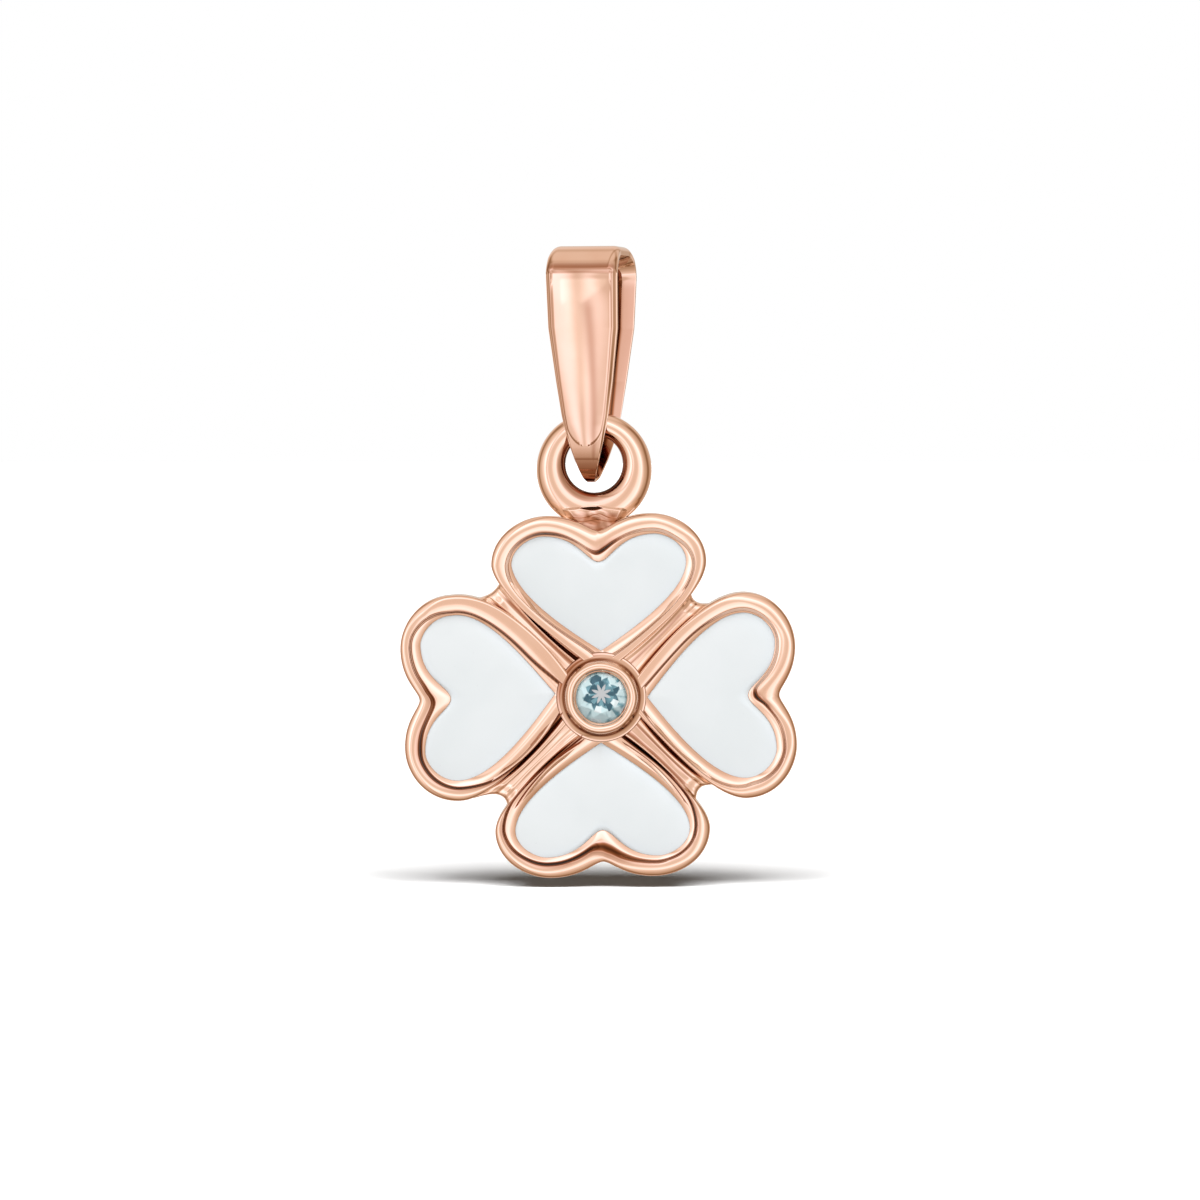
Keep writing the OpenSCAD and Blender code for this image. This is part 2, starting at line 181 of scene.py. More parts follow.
@dataclass(frozen=True)
class Surface:
    """A closed skin: its points in millimetres, the faces between them, and the points' shade.

    The shade is painted shade: 0 on clean metal and 1 where it is painted darkest, in creases,
    grooves and hollows and in bands that stand for dark reflections.
    """

    points: Array
    faces: tuple[Array, ...]
    shade: Array | float = 0.0

    @staticmethod
    def net(rows: int, columns: int, loop_rows: bool, loop_columns: bool) -> Array:
        """Quads between the neighbours of a grid whose points are numbered row by row.

        Args:
            rows: The number of rows.
            columns: The number of columns.
            loop_rows: Whether the last row joins the first.
            loop_columns: Whether the last column joins the first.

        Returns:
            One quad a row, as four point numbers.
        """
        i = np.arange(rows if loop_rows else rows - 1)[:, None]
        j = np.arange(columns if loop_columns else columns - 1)[None, :]
        i1, j1 = (i + 1) % rows, (j + 1) % columns
        corners = [i * columns + j, i * columns + j1, i1 * columns + j1, i1 * columns + j]
        return np.stack(np.broadcast_arrays(*corners), -1).reshape(-1, 4)

    @classmethod
    def ring(cls, grid: Array, shade: Array) -> "Surface":
        """A grid that joins itself both ways, such as a rim, a wire or a turned ring."""
        rows, columns = grid.shape[:2]
        return cls(grid.reshape(-1, 3), (cls.net(rows, columns, True, True),), shade)

    @classmethod
    def dome(cls, grid: Array, first: Array, last: Array) -> "Surface":
        """Closed rings of points from one pole to the other.

        Args:
            grid: The rings, one a row.
            first: The pole inside the first ring.
            last: The pole inside the last ring.

        Returns:
            The surface, with a fan of triangles at each pole.
        """
        rows, columns = grid.shape[:2]
        points = np.concatenate([grid.reshape(-1, 3), [first], [last]])
        j = np.arange(columns)
        j1 = (j + 1) % columns
        top = np.stack([np.full(columns, rows * columns), j1, j], -1)
        bottom = np.stack([np.full(columns, rows * columns + 1), j, j1], -1)
        bottom[:, 1:] += (rows - 1) * columns
        return cls(points, (cls.net(rows, columns, False, True), top, bottom))

    @classmethod
    def slab(cls, front: Array, back: Array, shade: Array) -> "Surface":
        """Two grids of the same shape, joined along their four sides.

        Args:
            front: The front's points, by row and column.
            back: The back's points, by row and column.
            shade: The front's shade, by row and column.

        Returns:
            The surface, each of whose rows is a loop, with the first and last row closed.
        """
        rows, columns = front.shape[:2]
        loops = np.concatenate([front, back[:, ::-1]], 1)
        j = np.arange(columns - 1)
        cap = np.stack([j, 2 * columns - 1 - j, 2 * columns - 2 - j, j + 1], -1)
        end = cap[:, ::-1] + (rows - 1) * 2 * columns
        faces = (cls.net(rows, 2 * columns, False, True), cap, end)
        return cls(loops.reshape(-1, 3), faces, np.concatenate([shade, 0 * shade], 1))

    def volume(self) -> float:
        """Adds up the volume inside the skin, from the origin to each face.

        Returns:
            The volume, which is below zero where the faces point inwards.
        """
        total = 0.0
        for faces in self.faces:
            for k in range(1, faces.shape[1] - 1):
                a, b, c = (self.points[faces[:, n]] for n in (0, k, k + 1))
                total += float(np.einsum("ij,ij->", a, np.cross(b, c))) / 6.0
        return total


@dataclass(frozen=True)
class Role:
    """What a piece is to the frame: its body, its material slot and the nodes it stands for."""

    body: Body
    slot: Slot
    replaced: tuple[str, ...]


CLOVER_METAL = Role(Body.CLOVER, Slot.GOLD, ("clover_frame",))
BAIL_METAL = Role(Body.BAIL, Slot.GOLD, ("bail",))

# The angle between two faces past which their edge is drawn as a crease
SHARP_DEGREES = 60.0


def make_piece(name: str, surface: Surface, material: bpy.types.Material, role: Role) -> None:
    """Makes one object of a closed surface, facing outwards, and ties it to the frame.

    Args:
        name: The piece's name.
        surface: Its closed surface.
        material: Its finish.
        role: What it is to the frame.
    """
    outwards = surface.volume() > 0
    faces: list[list[int]] = []
    for block in surface.faces:
        faces += (block if outwards else block[:, ::-1]).tolist()
    mesh = bpy.data.meshes.new(name)
    mesh.from_pydata(surface.points * MM, [], faces)
    mesh.update()
    mesh.polygons.foreach_set("use_smooth", np.ones(len(mesh.polygons), bool))
    mesh.set_sharp_from_angle(angle=np.radians(SHARP_DEGREES))
    # The painted shade of each point, which the gold materials read
    shade = np.broadcast_to(np.ravel(surface.shade), len(surface.points)).astype(np.float32)
    mesh.attributes.new("shade", "FLOAT", "POINT").data.foreach_set("value", shade)
    mesh.materials.append(material)
    piece = bpy.data.objects.new(name, mesh)
    bpy.context.scene.collection.objects.link(piece)
    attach(piece, role.body.value)
    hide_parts(*role.replaced)
    LOG.info("%s: %d points, %d faces", name, len(surface.points), len(faces))


# Finishes


class NodeSheet:
    """A short way to lay out the nodes of a material, a world or a group."""

    def __init__(self, tree: bpy.types.NodeTree) -> None:
        """Takes the tree that the nodes go in, and empties it."""
        self.tree = tree
        tree.nodes.clear()

    def add(self, kind: str, **inputs: object) -> bpy.types.Node:
        """Adds a node and sets or links its inputs.

        Args:
            kind: The node's type, such as ShaderNodeTexNoise.
            **inputs: Values or output sockets, by input name with _ for a space.

        Returns:
            The new node.
        """
        node = self.tree.nodes.new(kind)
        for name, value in inputs.items():
            self.put(node.inputs[name.replace("_", " ")], value)
        return node

    def put(self, socket: bpy.types.NodeSocket, value: object) -> None:
        """Links an output socket to an input, or sets the input's value.

        Args:
            socket: The input.
            value: The output socket or the value.
        """
        if isinstance(value, bpy.types.NodeSocket):
            self.tree.links.new(value, socket)
        else:
            socket.default_value = value

    def math(self, operation: str, *values: object) -> bpy.types.NodeSocket:
        """One step of arithmetic.

        Args:
            operation: The Math node's operation.
            *values: Its one to three inputs, as numbers or sockets.

        Returns:
            The result's socket.
        """
        node = self.tree.nodes.new("ShaderNodeMath")
        node.operation = operation
        for socket, value in zip(node.inputs, values):
            self.put(socket, value)
        return node.outputs[0]

    def step(self, value: object, low: float, high: float, start: float = 0.0,
             end: float = 1.0) -> bpy.types.NodeSocket:
        """A soft step of a value from start, below low, to end, above high.

        Args:
            value: The value, as a socket.
            low: Where the step starts.
            high: Where the step ends.
            start: The result below low.
            end: The result above high.

        Returns:
            The result's socket.
        """
        node = self.tree.nodes.new("ShaderNodeMapRange")
        node.interpolation_type = "SMOOTHSTEP"
        for name, number in (("Value", value), ("From Min", low), ("From Max", high),
                             ("To Min", start), ("To Max", end)):
            self.put(node.inputs[name], number)
        return node.outputs["Result"]

    def mix(self, share: object, first: object, second: object) -> bpy.types.NodeSocket:
        """Mixes two colours.

        Args:
            share: How far the mix goes, from 0, all first, to 1, all second.
            first: The first colour.
            second: The second colour.

        Returns:
            The mixed colour's socket.
        """
        node = self.tree.nodes.new("ShaderNodeMix")
        node.data_type = "RGBA"
        self.put(node.inputs["Factor"], share)
        self.put(node.inputs[6], first)
        self.put(node.inputs[7], second)
        return node.outputs[2]

    def place(self) -> bpy.types.NodeSocket:
        """The coordinates of the object that wears the material."""
        return self.add("ShaderNodeTexCoord").outputs["Object"]

    def noise(self, place: bpy.types.NodeSocket, scale: float, detail: float,
              roughness: float = 0.5) -> bpy.types.NodeSocket:
        """A soft noise from 0 to 1.

        Args:
            place: The coordinates that it is read at.
            scale: Its repeats per unit of them.
            detail: How many finer noises are laid over it.
            roughness: How strong each of those is beside the one before.

        Returns:
            The noise's socket.
        """
        return self.add("ShaderNodeTexNoise", Vector=place, Scale=scale, Detail=detail,
                        Roughness=roughness).outputs[0]


def new_material(name: str) -> tuple[bpy.types.Material, NodeSheet]:
    """Makes a node material.

    Args:
        name: The material's name.

    Returns:
        The material, and the empty sheet to lay its nodes out on.
    """
    material = bpy.data.materials.new(name)
    material.use_nodes = True
    return material, NodeSheet(material.node_tree)


def new_group(name: str, inputs: dict[str, float], outputs: tuple[str, ...]) -> NodeSheet:
    """Makes a shader node group with number sockets.

    Args:
        name: The group's name.
        inputs: The inputs' names and default values.
        outputs: The outputs' names.

    Returns:
        The group's sheet, with one input and one output node on it.
    """
    tree = bpy.data.node_groups.new(name, "ShaderNodeTree")
    for label, value in inputs.items():
        socket = tree.interface.new_socket(label, in_out="INPUT", socket_type="NodeSocketFloat")
        socket.default_value = value
    for label in outputs:
        tree.interface.new_socket(label, in_out="OUTPUT", socket_type="NodeSocketFloat")
    sheet = NodeSheet(tree)
    sheet.add("NodeGroupInput")
    sheet.add("NodeGroupOutput")
    return sheet


# The two sets of hairlines: how each is turned, how far it is drawn out, how many lie on a
# metre, and how high they stand beside the waves
HAIR_TURNS = ((0.3, 0.5, 0.2), (0.3, -0.9, 0.2))
HAIR_STRETCH = (1.0, 1.0, 0.06)
HAIR_SCALE = 26000.0
HAIR_HEIGHT = 0.02
# The buffing waves and the duller patches, in repeats per metre, and the patches' edges
WAVE_SCALE = 1400.0
PATCH_SCALE = 700.0
PATCH_SPAN = (0.35, 0.65)


def polish_group() -> bpy.types.NodeTree:
    """The marks of hand polishing: fine crossed hairlines, soft waves and patches.

    Two noises, each stretched along its own direction, give the hairlines; a wide noise gives
    the waves that buffing leaves, and a wider one the patches where the metal is duller.

    Returns:
        The group, with the outputs Height, Dullness and Patch.
    """
    sheet = new_group("hand_polish", {"Hairlines": 1.0, "Waves": 1.0},
                      ("Height", "Dullness", "Patch"))
    given, out = sheet.tree.nodes[0].outputs, sheet.tree.nodes[1].inputs
    place = sheet.place()
    turned = [sheet.add("ShaderNodeMapping", Vector=place, Rotation=turn, Scale=HAIR_STRETCH)
              for turn in HAIR_TURNS]
    lines = [sheet.noise(node.outputs[0], HAIR_SCALE, 2.0, 0.6) for node in turned]
    hair = sheet.math("MULTIPLY", sheet.math("MULTIPLY", *lines), given["Hairlines"])
    waves = sheet.math("MULTIPLY", sheet.noise(place, WAVE_SCALE, 1.0), given["Waves"])
    patch = sheet.noise(place, PATCH_SCALE, 3.0)
    sheet.put(out["Height"], sheet.math("MULTIPLY_ADD", hair, HAIR_HEIGHT, waves))
    sheet.put(out["Dullness"], sheet.math("MULTIPLY", hair, sheet.step(patch, *PATCH_SPAN)))
    sheet.put(out["Patch"], patch)
    return sheet.tree


def speck_group() -> bpy.types.NodeTree:
    """Tiny specks of dust, as the centres of scattered cells, kept only where a noise allows.

    Returns:
        The group, with the output Mask.
    """
    sheet = new_group("fine_specks", {"Scale": 3500.0, "Size": 0.055, "Share": 0.72}, ("Mask",))
    given, out = sheet.tree.nodes[0].outputs, sheet.tree.nodes[1].inputs
    cells = sheet.add("ShaderNodeTexVoronoi", Vector=sheet.place(), Scale=given["Scale"])
    near = sheet.math("LESS_THAN", cells.outputs["Distance"], given["Size"])
    pick = sheet.add("ShaderNodeTexWhiteNoise", Vector=cells.outputs["Position"]).outputs[0]
    kept = sheet.math("GREATER_THAN", pick, given["Share"])
    sheet.put(out["Mask"], sheet.math("MULTIPLY", near, kept))
    return sheet.tree


def place_group(sheet: NodeSheet, tree: bpy.types.NodeTree, **values: float) -> bpy.types.Node:
    """Places a group in a material with its own values.

    Args:
        sheet: The material's sheet.
        tree: The group.
        **values: Its inputs, by name.

    Returns:
        The group's node.
    """
    node = sheet.tree.nodes.new("ShaderNodeGroup")
    node.node_tree = tree
    for name, value in values.items():
        node.inputs[name].default_value = value
    return node


@dataclass(frozen=True)
class GoldFinish:
    """Polished rose gold: a copper-rich metal, a little redder and duller in patches.

    It is painted paler where other metal mirrors it, which lightens its hollows as painted light,
    and dim in the light that it spreads, which keeps its glow off the table and the enamel. A span
    says where one look gives way to the next: along the patches, along the painted shade to brown
    and then to near black, and along the hairlines for dullness.
    """

    name: str
    polish: bpy.types.NodeTree
    colour: Colour = (0.925, 0.593, 0.437, 1.0)
    deep: Colour = (0.90, 0.553, 0.397, 1.0)
    painted_brown_shade: Colour = (0.36, 0.115, 0.045, 1.0)
    painted_black_shade: Colour = (0.022, 0.006, 0.002, 1.0)
    painted_mirror_light: Colour = (0.93, 0.80, 0.69, 1.0)
    spread: Colour = (0.20, 0.16, 0.13, 1.0)
    gloss: float = 0.06
    dulled: float = 0.13
    hairlines: float = 1.0
    waves: float = 0.6
    bump: float = 0.12
    height: float = 0.00002
    patch_span: Span = (0.3, 0.7)
    painted_brown_span: Span = (0.0, 0.55)
    painted_black_span: Span = (0.45, 1.0)
    dull_span: Span = (0.05, 0.4)

    def material(self) -> bpy.types.Material:
        """Lays the finish out as a node material.

        Returns:
            The material.
        """
        material, sheet = new_material(self.name)
        marks = place_group(sheet, self.polish, Hairlines=self.hairlines,
                            Waves=self.waves).outputs
        tint = sheet.mix(sheet.step(marks["Patch"], *self.patch_span), self.colour, self.deep)
        # Painted light: a paler colour where other metal mirrors it, and a dim one in the light
        # that it spreads
        path = sheet.add("ShaderNodeLightPath").outputs
        tint = sheet.mix(path["Is Glossy Ray"], tint, self.painted_mirror_light)
        tint = sheet.mix(path["Is Diffuse Ray"], tint, self.spread)
        shade = sheet.add("ShaderNodeAttribute")
        shade.attribute_name = "shade"
        # Painted shade: towards brown, then near black, as the shade attribute grows
        for span, colour in ((self.painted_brown_span, self.painted_brown_shade), (self.painted_black_span, self.painted_black_shade)):
            tint = sheet.mix(sheet.step(shade.outputs["Fac"], *span), tint, colour)
        rough = sheet.step(marks["Dullness"], *self.dull_span, self.gloss, self.dulled)
        bump = sheet.add("ShaderNodeBump", Height=marks["Height"], Strength=self.bump,
                         Distance=self.height)
        metal = sheet.add("ShaderNodeBsdfPrincipled", Base_Color=tint, Roughness=rough,
                          Metallic=1.0, Normal=bump.outputs[0])
        sheet.add("ShaderNodeOutputMaterial", Surface=metal.outputs[0])
        return material


@dataclass(frozen=True)
class EnamelFinish:
    """Glossy white enamel: faintly cool, with soft clouds, tiny specks and a glassy coat."""

    name: str
    specks: bpy.types.NodeTree
    colour: Colour = (0.642, 0.669, 0.677, 1.0)
    cloud: Colour = (0.664, 0.688, 0.696, 1.0)
    speck: Colour = (0.57, 0.59, 0.60, 1.0)
    speck_strength: float = 0.6
    roughness: float = 0.12
    coat: float = 0.4
    coat_roughness: float = 0.04
    cloud_scale: float = 450.0
    cloud_span: Span = (0.35, 0.65)
    grain_scale: float = 30000.0
    bump: float = 0.05
    height: float = 0.00001

    def material(self) -> bpy.types.Material:
        """Lays the finish out as a node material.

        Returns:
            The material.
        """
        material, sheet = new_material(self.name)
        place = sheet.place()
        wide = sheet.step(sheet.noise(place, self.cloud_scale, 2.0), *self.cloud_span)
        fine = sheet.noise(place, self.grain_scale, 2.0)
        dust = place_group(sheet, self.specks).outputs["Mask"]
        body = sheet.mix(wide, self.colour, self.cloud)
        body = sheet.mix(sheet.math("MULTIPLY", dust, self.speck_strength), body, self.speck)
        bump = sheet.add("ShaderNodeBump", Height=fine, Strength=self.bump, Distance=self.height)
        glaze = sheet.add("ShaderNodeBsdfPrincipled", Base_Color=body, Roughness=self.roughness,
                          Coat_Weight=self.coat, Coat_Roughness=self.coat_roughness,
                          Normal=bump.outputs[0])
        sheet.add("ShaderNodeOutputMaterial", Surface=glaze.outputs[0])
        return material


@dataclass(frozen=True)
class StoneFinish:
    """A clear, pale blue brilliant: a pale star, dark facets between its points, a pale ring.

    The star, the dark and pale facets and the glints are painted reflections. Distances are shares
    of the radius. A span says where one tone gives way to the next: along the distance, or along
    the numbers that make one facet unlike another.
    """

    name: str
    middle: tuple[float, float]
    radius: float = 0.85
    star: Colour = (0.56, 0.56, 0.57, 1.0)
    dark: Colour = (0.025, 0.10, 0.14, 1.0)
    pale: Colour = (0.68, 0.86, 0.88, 1.0)
    teal: Colour = (0.17, 0.36, 0.42, 1.0)
    painted_glint: Colour = (0.86, 0.94, 0.95, 1.0)
    index: float = 1.58
    roughness: float = 0.03
    clearness: float = 0.2
    points: int = 8
    star_r: float = 0.13
    star_reach: float = 0.25
    rings: float = 4.2
    grain_scale: float = 3600.0
    star_span: Span = (-0.01, 0.02)
    ring_span: Span = (0.56, 0.62)
    streak_span: Span = (0.60, 1.15)
    teal_span: Span = (0.80, 1.30)
    painted_glint_chip: Span = (0.74, 0.78)
    painted_glint_far: Span = (0.44, 0.48)

    def material(self) -> bpy.types.Material:
        """Lays the finish out as a node material, with facets by angle and distance.

        A wave that goes up and down with the angle, once a point, gives the star and the
        uneven inside of the pale ring, and one twice as fast gives the ring its streaks. Rings
        of cells, each ring half a cell on from the last, give each facet a number by chance.

        Returns:
            The material.
        """
        material, sheet = new_material(self.name)
        math, place = sheet.math, sheet.place()
        axes = sheet.add("ShaderNodeSeparateXYZ", Vector=place).outputs
        x, z = (math("MULTIPLY_ADD", axes[axis], 1.0 / (self.radius * MM), -mid / self.radius)
                for axis, mid in zip("XZ", self.middle))
        turn = math("DIVIDE", math("ARCTAN2", z, x), float(2 * np.pi))
        far = math("SQRT", math("ADD", math("POWER", x, 2.0), math("POWER", z, 2.0)))
        halves, quarters = 2.0 * self.points, 4.0 * self.points
        wave = math("PINGPONG", math("MULTIPLY_ADD", turn, halves, halves), 1.0)
        fast = math("PINGPONG", math("MULTIPLY_ADD", turn, quarters, quarters + 0.7), 1.0)
        grain = sheet.noise(place, self.grain_scale, 1.0)
        level = math("FLOOR", math("MULTIPLY_ADD", far, self.rings, 0.1))
        around = math("MULTIPLY_ADD", turn, halves, math("MULTIPLY", level, 0.5))
        cell = sheet.add("ShaderNodeCombineXYZ", X=math("FLOOR", around), Y=level)
        chip = sheet.add("ShaderNodeTexWhiteNoise", Vector=cell.outputs[0]).outputs[0]
        # The star, the pale ring and the facets' tones are painted reflections
        reach = math("MULTIPLY_ADD", wave, self.star_reach, self.star_r)
        in_star = sheet.step(math("SUBTRACT", reach, far), *self.star_span)
        edge = math("MULTIPLY_ADD", chip, 0.22, math("MULTIPLY", wave, -0.16))
        in_ring = sheet.step(math("ADD", far, edge), *self.ring_span)
        chance = math("ADD", chip, grain)
        streak = math("MULTIPLY_ADD", fast, 0.6, chance)
        ring = sheet.mix(sheet.step(streak, *self.streak_span), self.teal, self.pale)
        tone = sheet.mix(sheet.step(chance, *self.teal_span), self.dark, self.teal)
        tone = sheet.mix(in_ring, tone, ring)
        # A painted glint on a few facets outside the middle
        painted_glint_mask = math("MULTIPLY", sheet.step(chip, *self.painted_glint_chip),
                     sheet.step(far, *self.painted_glint_far))
        tone = sheet.mix(painted_glint_mask, tone, self.painted_glint)
        tone = sheet.mix(in_star, tone, self.star)
        glass = sheet.add("ShaderNodeBsdfPrincipled", Base_Color=tone, Roughness=self.roughness,
                          IOR=self.index, Transmission_Weight=self.clearness)
        sheet.add("ShaderNodeOutputMaterial", Surface=glass.outputs[0])
        return material


# The clover's hearts

# Depths of the rims' tops and of the clover's back, the cup's radius, and half the thickness
# of the eye's wire, which more than one part is fitted to
FRONT_Y = -0.815
BACK_Y = 0.635
CUP_R = 1.38
EYE_HALF_T = 0.37
# How far to either side a row of values is averaged, which softens its corners
SOFTENED = 0.012


@dataclass(frozen=True)
class Middle:
    """The clover's middle in the frame, and the lean of the clover in its own plane."""

    x: float
    z: float
    lean: float = 0.5

    def seated(self, flat: Array, y: Array | float) -> Array:
        """Sets points of the clover's plane in the frame.

        Args:
            flat: Places across and up from the clover's middle.
            y: Their depths.

        Returns:
            The points in the frame.
        """
        turned = spun(flat, self.lean)
        depth = np.broadcast_to(y, turned.shape[:-1])
        return np.stack([turned[..., 0] + self.x, depth, turned[..., 1] + self.z], -1)


@dataclass(frozen=True)
class Line:
    """The line that runs round a heart's rim, at one place on the way round.

    Attributes:
        way: Share of the way round, from the tip past one lobe, the notch and the other.
        place: Where the line lies, as a share of the rim's width from its outside.
        dark: How dark the line's painted shade is, from 0 to 1.
        spread: Half its width, as a share of the rim's width.
        edge: Width of the rounding at the rim's outside, as a share of its width.
    """

    way: float
    place: float
    dark: float
    spread: float = 0.10
    edge: float = 0.55


@dataclass(frozen=True)
class Heart:
    """One heart's outline, and the line that runs round its rim.

    Attributes:
        name: Its place in the clover.
        turn: Its direction from the clover's middle.
        twist: Its turn about its own middle.
        reach: How far out it goes.
        half_width: Half its width.
        drawn: How far the rim is drawn in along its two sides, as shares of its width.
        bow: How far the two flanks stand out beyond the plain curve.
        lines: The line's places round the rim.
    """

    name: str
    turn: float
    twist: float
    reach: float
    half_width: float
    drawn: tuple[float, float]
    bow: tuple[float, float]
    lines: tuple[Line, ...]


# Control points of half a heart's outside, from behind the tip round the lobe to the notch.
# Columns: share of the reach, share of the half width, how far the point moves along and
# across for each millimetre of inset, and its part in the narrowing of the rim's side.
HEART_CURVE = np.array([
    [0.210, 0.264, 1.30, 0.00, 1.0],
    [0.500, 1.000, 0.55, -1.00, 1.0],
    [0.735, 1.000, 0.00, -1.00, 0.0],
    [0.893, 1.000, -0.60, -1.00, 0.0],
    [1.000, 0.740, -1.00, -0.55, 0.0],
    [1.000, 0.480, -1.00, 0.20, 0.0],
    [1.000, 0.190, -1.00, 0.00, 0.0],
    [0.915, 0.080, -1.55, 0.15, 0.0],
    [0.915, 0.000, -1.55, 0.00, 0.0],
])


@dataclass(frozen=True)
class Leaf:
    """One leaf of the clover: a heart's raised rim, its back plate and its enamel."""

    heart: Heart
    middle: Middle
    gold: bpy.types.Material
    enamel: bpy.types.Material
    rim_w: float = 0.62
    round_h: float = 0.15
    fall: float = 0.14
    groove: float = 0.02
    front_y: float = FRONT_Y
    back_y: float = BACK_Y
    back_t: float = 0.4
    cup_r: float = CUP_R
    cell_gap: float = 0.03
    tip_move: float = 1.3
    middle_share: float = 0.62
    enamel_drop: float = 0.3
    enamel_crown: float = 0.07
    enamel_tuck: float = 0.004
    enamel_sink: float = 0.01
    steps: int = 30
    # The outer rounding: its least width, its gap to the line, its unevenness and that one's
    # wave, and the width at which it is as deep as round_h
    edge_least: float = 0.12
    edge_gap: float = 0.08
    edge_uneven: float = 0.22
    edge_wave: float = 2.2
    edge_full: float = 0.4
    # Where the fall to the enamel starts and where it ends, and how far above the enamel
    fall_start: float = 0.3
    top_end: float = 0.985
    lip: float = 0.05
    # Painted shade in the line and on its outer side
    line_dark: float = 0.85
    beside_dark: float = 0.30

    def half(self, inset: Array, drawn: float, bow: float) -> Array:
        """Half the outline at several insets, as three cubics through the control points.

        Args:
            inset: The insets.
            drawn: How far the rim's side is drawn in, as a share of the rim's width.
            bow: How far the flank's second control point stands out further.

        Returns:
            Places along and across, by point and inset, from the tip to the notch.
        """
        pull = drawn * np.maximum(0.0, self.rim_w - inset)
        row = HEART_CURVE[:, :, None]
        along = row[:, 0] * self.heart.reach + row[:, 2] * inset + row[:, 4] * pull
        across = row[:, 1] * self.heart.half_width + row[:, 3] * inset
        across[1] += bow
        tip = self.cup_r + self.cell_gap + self.tip_move * (inset - self.rim_w)
        along = np.concatenate([tip[None], along])
        across = np.concatenate([0.0 * tip[None], across])
        handles = np.stack([along, across], -1)
        t = np.arange(self.steps) / self.steps
        curves = [cubic(handles[k:k + 4], t) for k in (0, 3, 6)]
        return np.concatenate(curves + [handles[9:]])

    def outline(self, inset: Array, share: float = 1.0) -> Array:
        """The whole outline at several insets, in the clover's plane.

        Args:
            inset: The insets, alike all the way round or with a row for each point.
            share: How much of the outline's size about the heart's middle is kept.

        Returns:
            Places across and up, by point and inset.
        """
        if inset.ndim == 2:  # Read off a finely stepped table
            levels = np.linspace(-0.05, 0.75, 161)
            known = self.outline(levels, share)
            step = (inset - levels[0]) / (levels[1] - levels[0])
            low = np.clip(step.astype(int), 0, len(levels) - 2)
            row = np.arange(len(known))[:, None]
            part = (step - low)[..., None]
            return known[row, low] * (1 - part) + known[row, low + 1] * part
        first = self.half(inset, self.heart.drawn[0], self.heart.bow[0])
        second = self.half(inset, self.heart.drawn[1], self.heart.bow[1])
        second = second[-2:0:-1] * np.array([1.0, -1.0])
        centre = np.array([self.middle_share * self.heart.reach, 0.0])
        whole = np.concatenate([first, second])
        return spun(centre + spun(share * (whole - centre), self.heart.twist), self.heart.turn)

    def lined(self, name: str) -> Array:
        """A value of the rim's line all the way round, in straight runs made soft.

        Args:
            name: The value's name in Line.

        Returns:
            The value at each point of the outline, as a column.
        """
        way = np.arange(6 * self.steps) / (6 * self.steps)
        ways = [line.way for line in self.heart.lines]
        values = [getattr(line, name) for line in self.heart.lines]
        shifts = np.linspace(-SOFTENED, SOFTENED, 7)[:, None]
        return np.interp((way + shifts) % 1.0, ways, values, period=1.0).mean(0)[:, None]

    def rim(self) -> Surface:
        """The rim: a section carried round the outline.

        From the back the section goes up the outer wall, over a quarter of an ellipse whose width
        varies round the heart, and down to the enamel. The fall is the square of the way across
        plus a soft step at the line, which is also cut as a small groove and has painted shade in
        it and beside it. Inside, the section goes down to the back again.

        Returns:
            The rim's surface.
        """
        bend = np.radians(np.linspace(0.0, 90.0, 15))
        wall_y = self.back_y - np.array([0.0, 0.14, 0.6, 1.05])
        at, dark, spread, edge = map(self.lined, ("place", "dark", "spread", "edge"))
        rows = np.ones_like(at)
        outside = self.outline(np.array([0.0]))[:, 0]
        edge = np.minimum(edge, np.maximum(self.edge_least, at - spread - self.edge_gap))
        uneven = ripple(outside, self.edge_wave, int(self.heart.turn))[:, None]
        edge = edge * (1 + self.edge_uneven * uneven)
        over = edge * (1 - np.cos(bend))
        over_h = self.round_h * np.sqrt(edge / self.edge_full) * (1 - np.sin(bend))
        top = edge + (self.top_end - edge) * np.linspace(0.0, 1.0, 56)[1:]
        inner = np.array([0.995, 1.0, 1.0, 1.02, 1.02])
        wall = np.array([0.14, 0.0, 0.0, 0.0])
        share = np.concatenate([rows * wall, over, top, rows * inner], 1)
        across = np.concatenate([over, top], 1)
        height = np.concatenate([over_h, 0.0 * top], 1)
        total = self.enamel_drop - self.lip
        inward = np.clip((across - self.fall_start) / (1 - self.fall_start), 0, 1)
        straight = inward**2 * (total - self.fall)
        step = self.fall * smooth(across, at - spread, at + spread)
        cut = self.groove * hump(across, at, 0.6 * spread)
        y = self.front_y + height + straight + step + cut
        ends = y[:, -1:] + np.array([0.01, 0.03, 0.12])
        y = np.concatenate([rows * wall_y, y, ends,
                            rows * (self.back_y - self.back_t + 0.1), rows * self.back_y], 1)
        # Painted shade in the line and beside it, on the rim's top only
        in_line = self.line_dark * hump(share, at, 0.72 * spread)
        beside = self.beside_dark * hump(share, at - spread, 1.3 * spread)
        on_top = np.arange(share.shape[1]) >= wall.size
        shade = dark * (in_line + beside) * on_top
        return Surface.ring(self.middle.seated(self.outline(share * self.rim_w), y), shade)

    def plate(self) -> Surface:
        """The plate behind the enamel: the outline at growing and then shrinking sizes.

        Returns:
            The plate's surface, flat in front and slightly crowned behind.
        """
        shares = np.array([0.3, 0.6, 0.85, 1.0, 1.0, 0.97, 0.85, 0.6, 0.3])
        front = self.back_y - self.back_t
        y = np.append([front] * 4, self.back_y - np.array([0.09, 0.055, 0.05, 0.045, 0.04]))
        inset = np.array([self.rim_w / 2])
        rings = np.stack([self.outline(inset, s)[:, 0] for s in shares])
        grid = self.middle.seated(rings, y[:, None])
        centre = self.outline(inset, 0.0)[0, 0]
        poles = [self.middle.seated(centre[None], d)[0] for d in (front, y[-1])]
        return Surface.dome(grid, *poles)

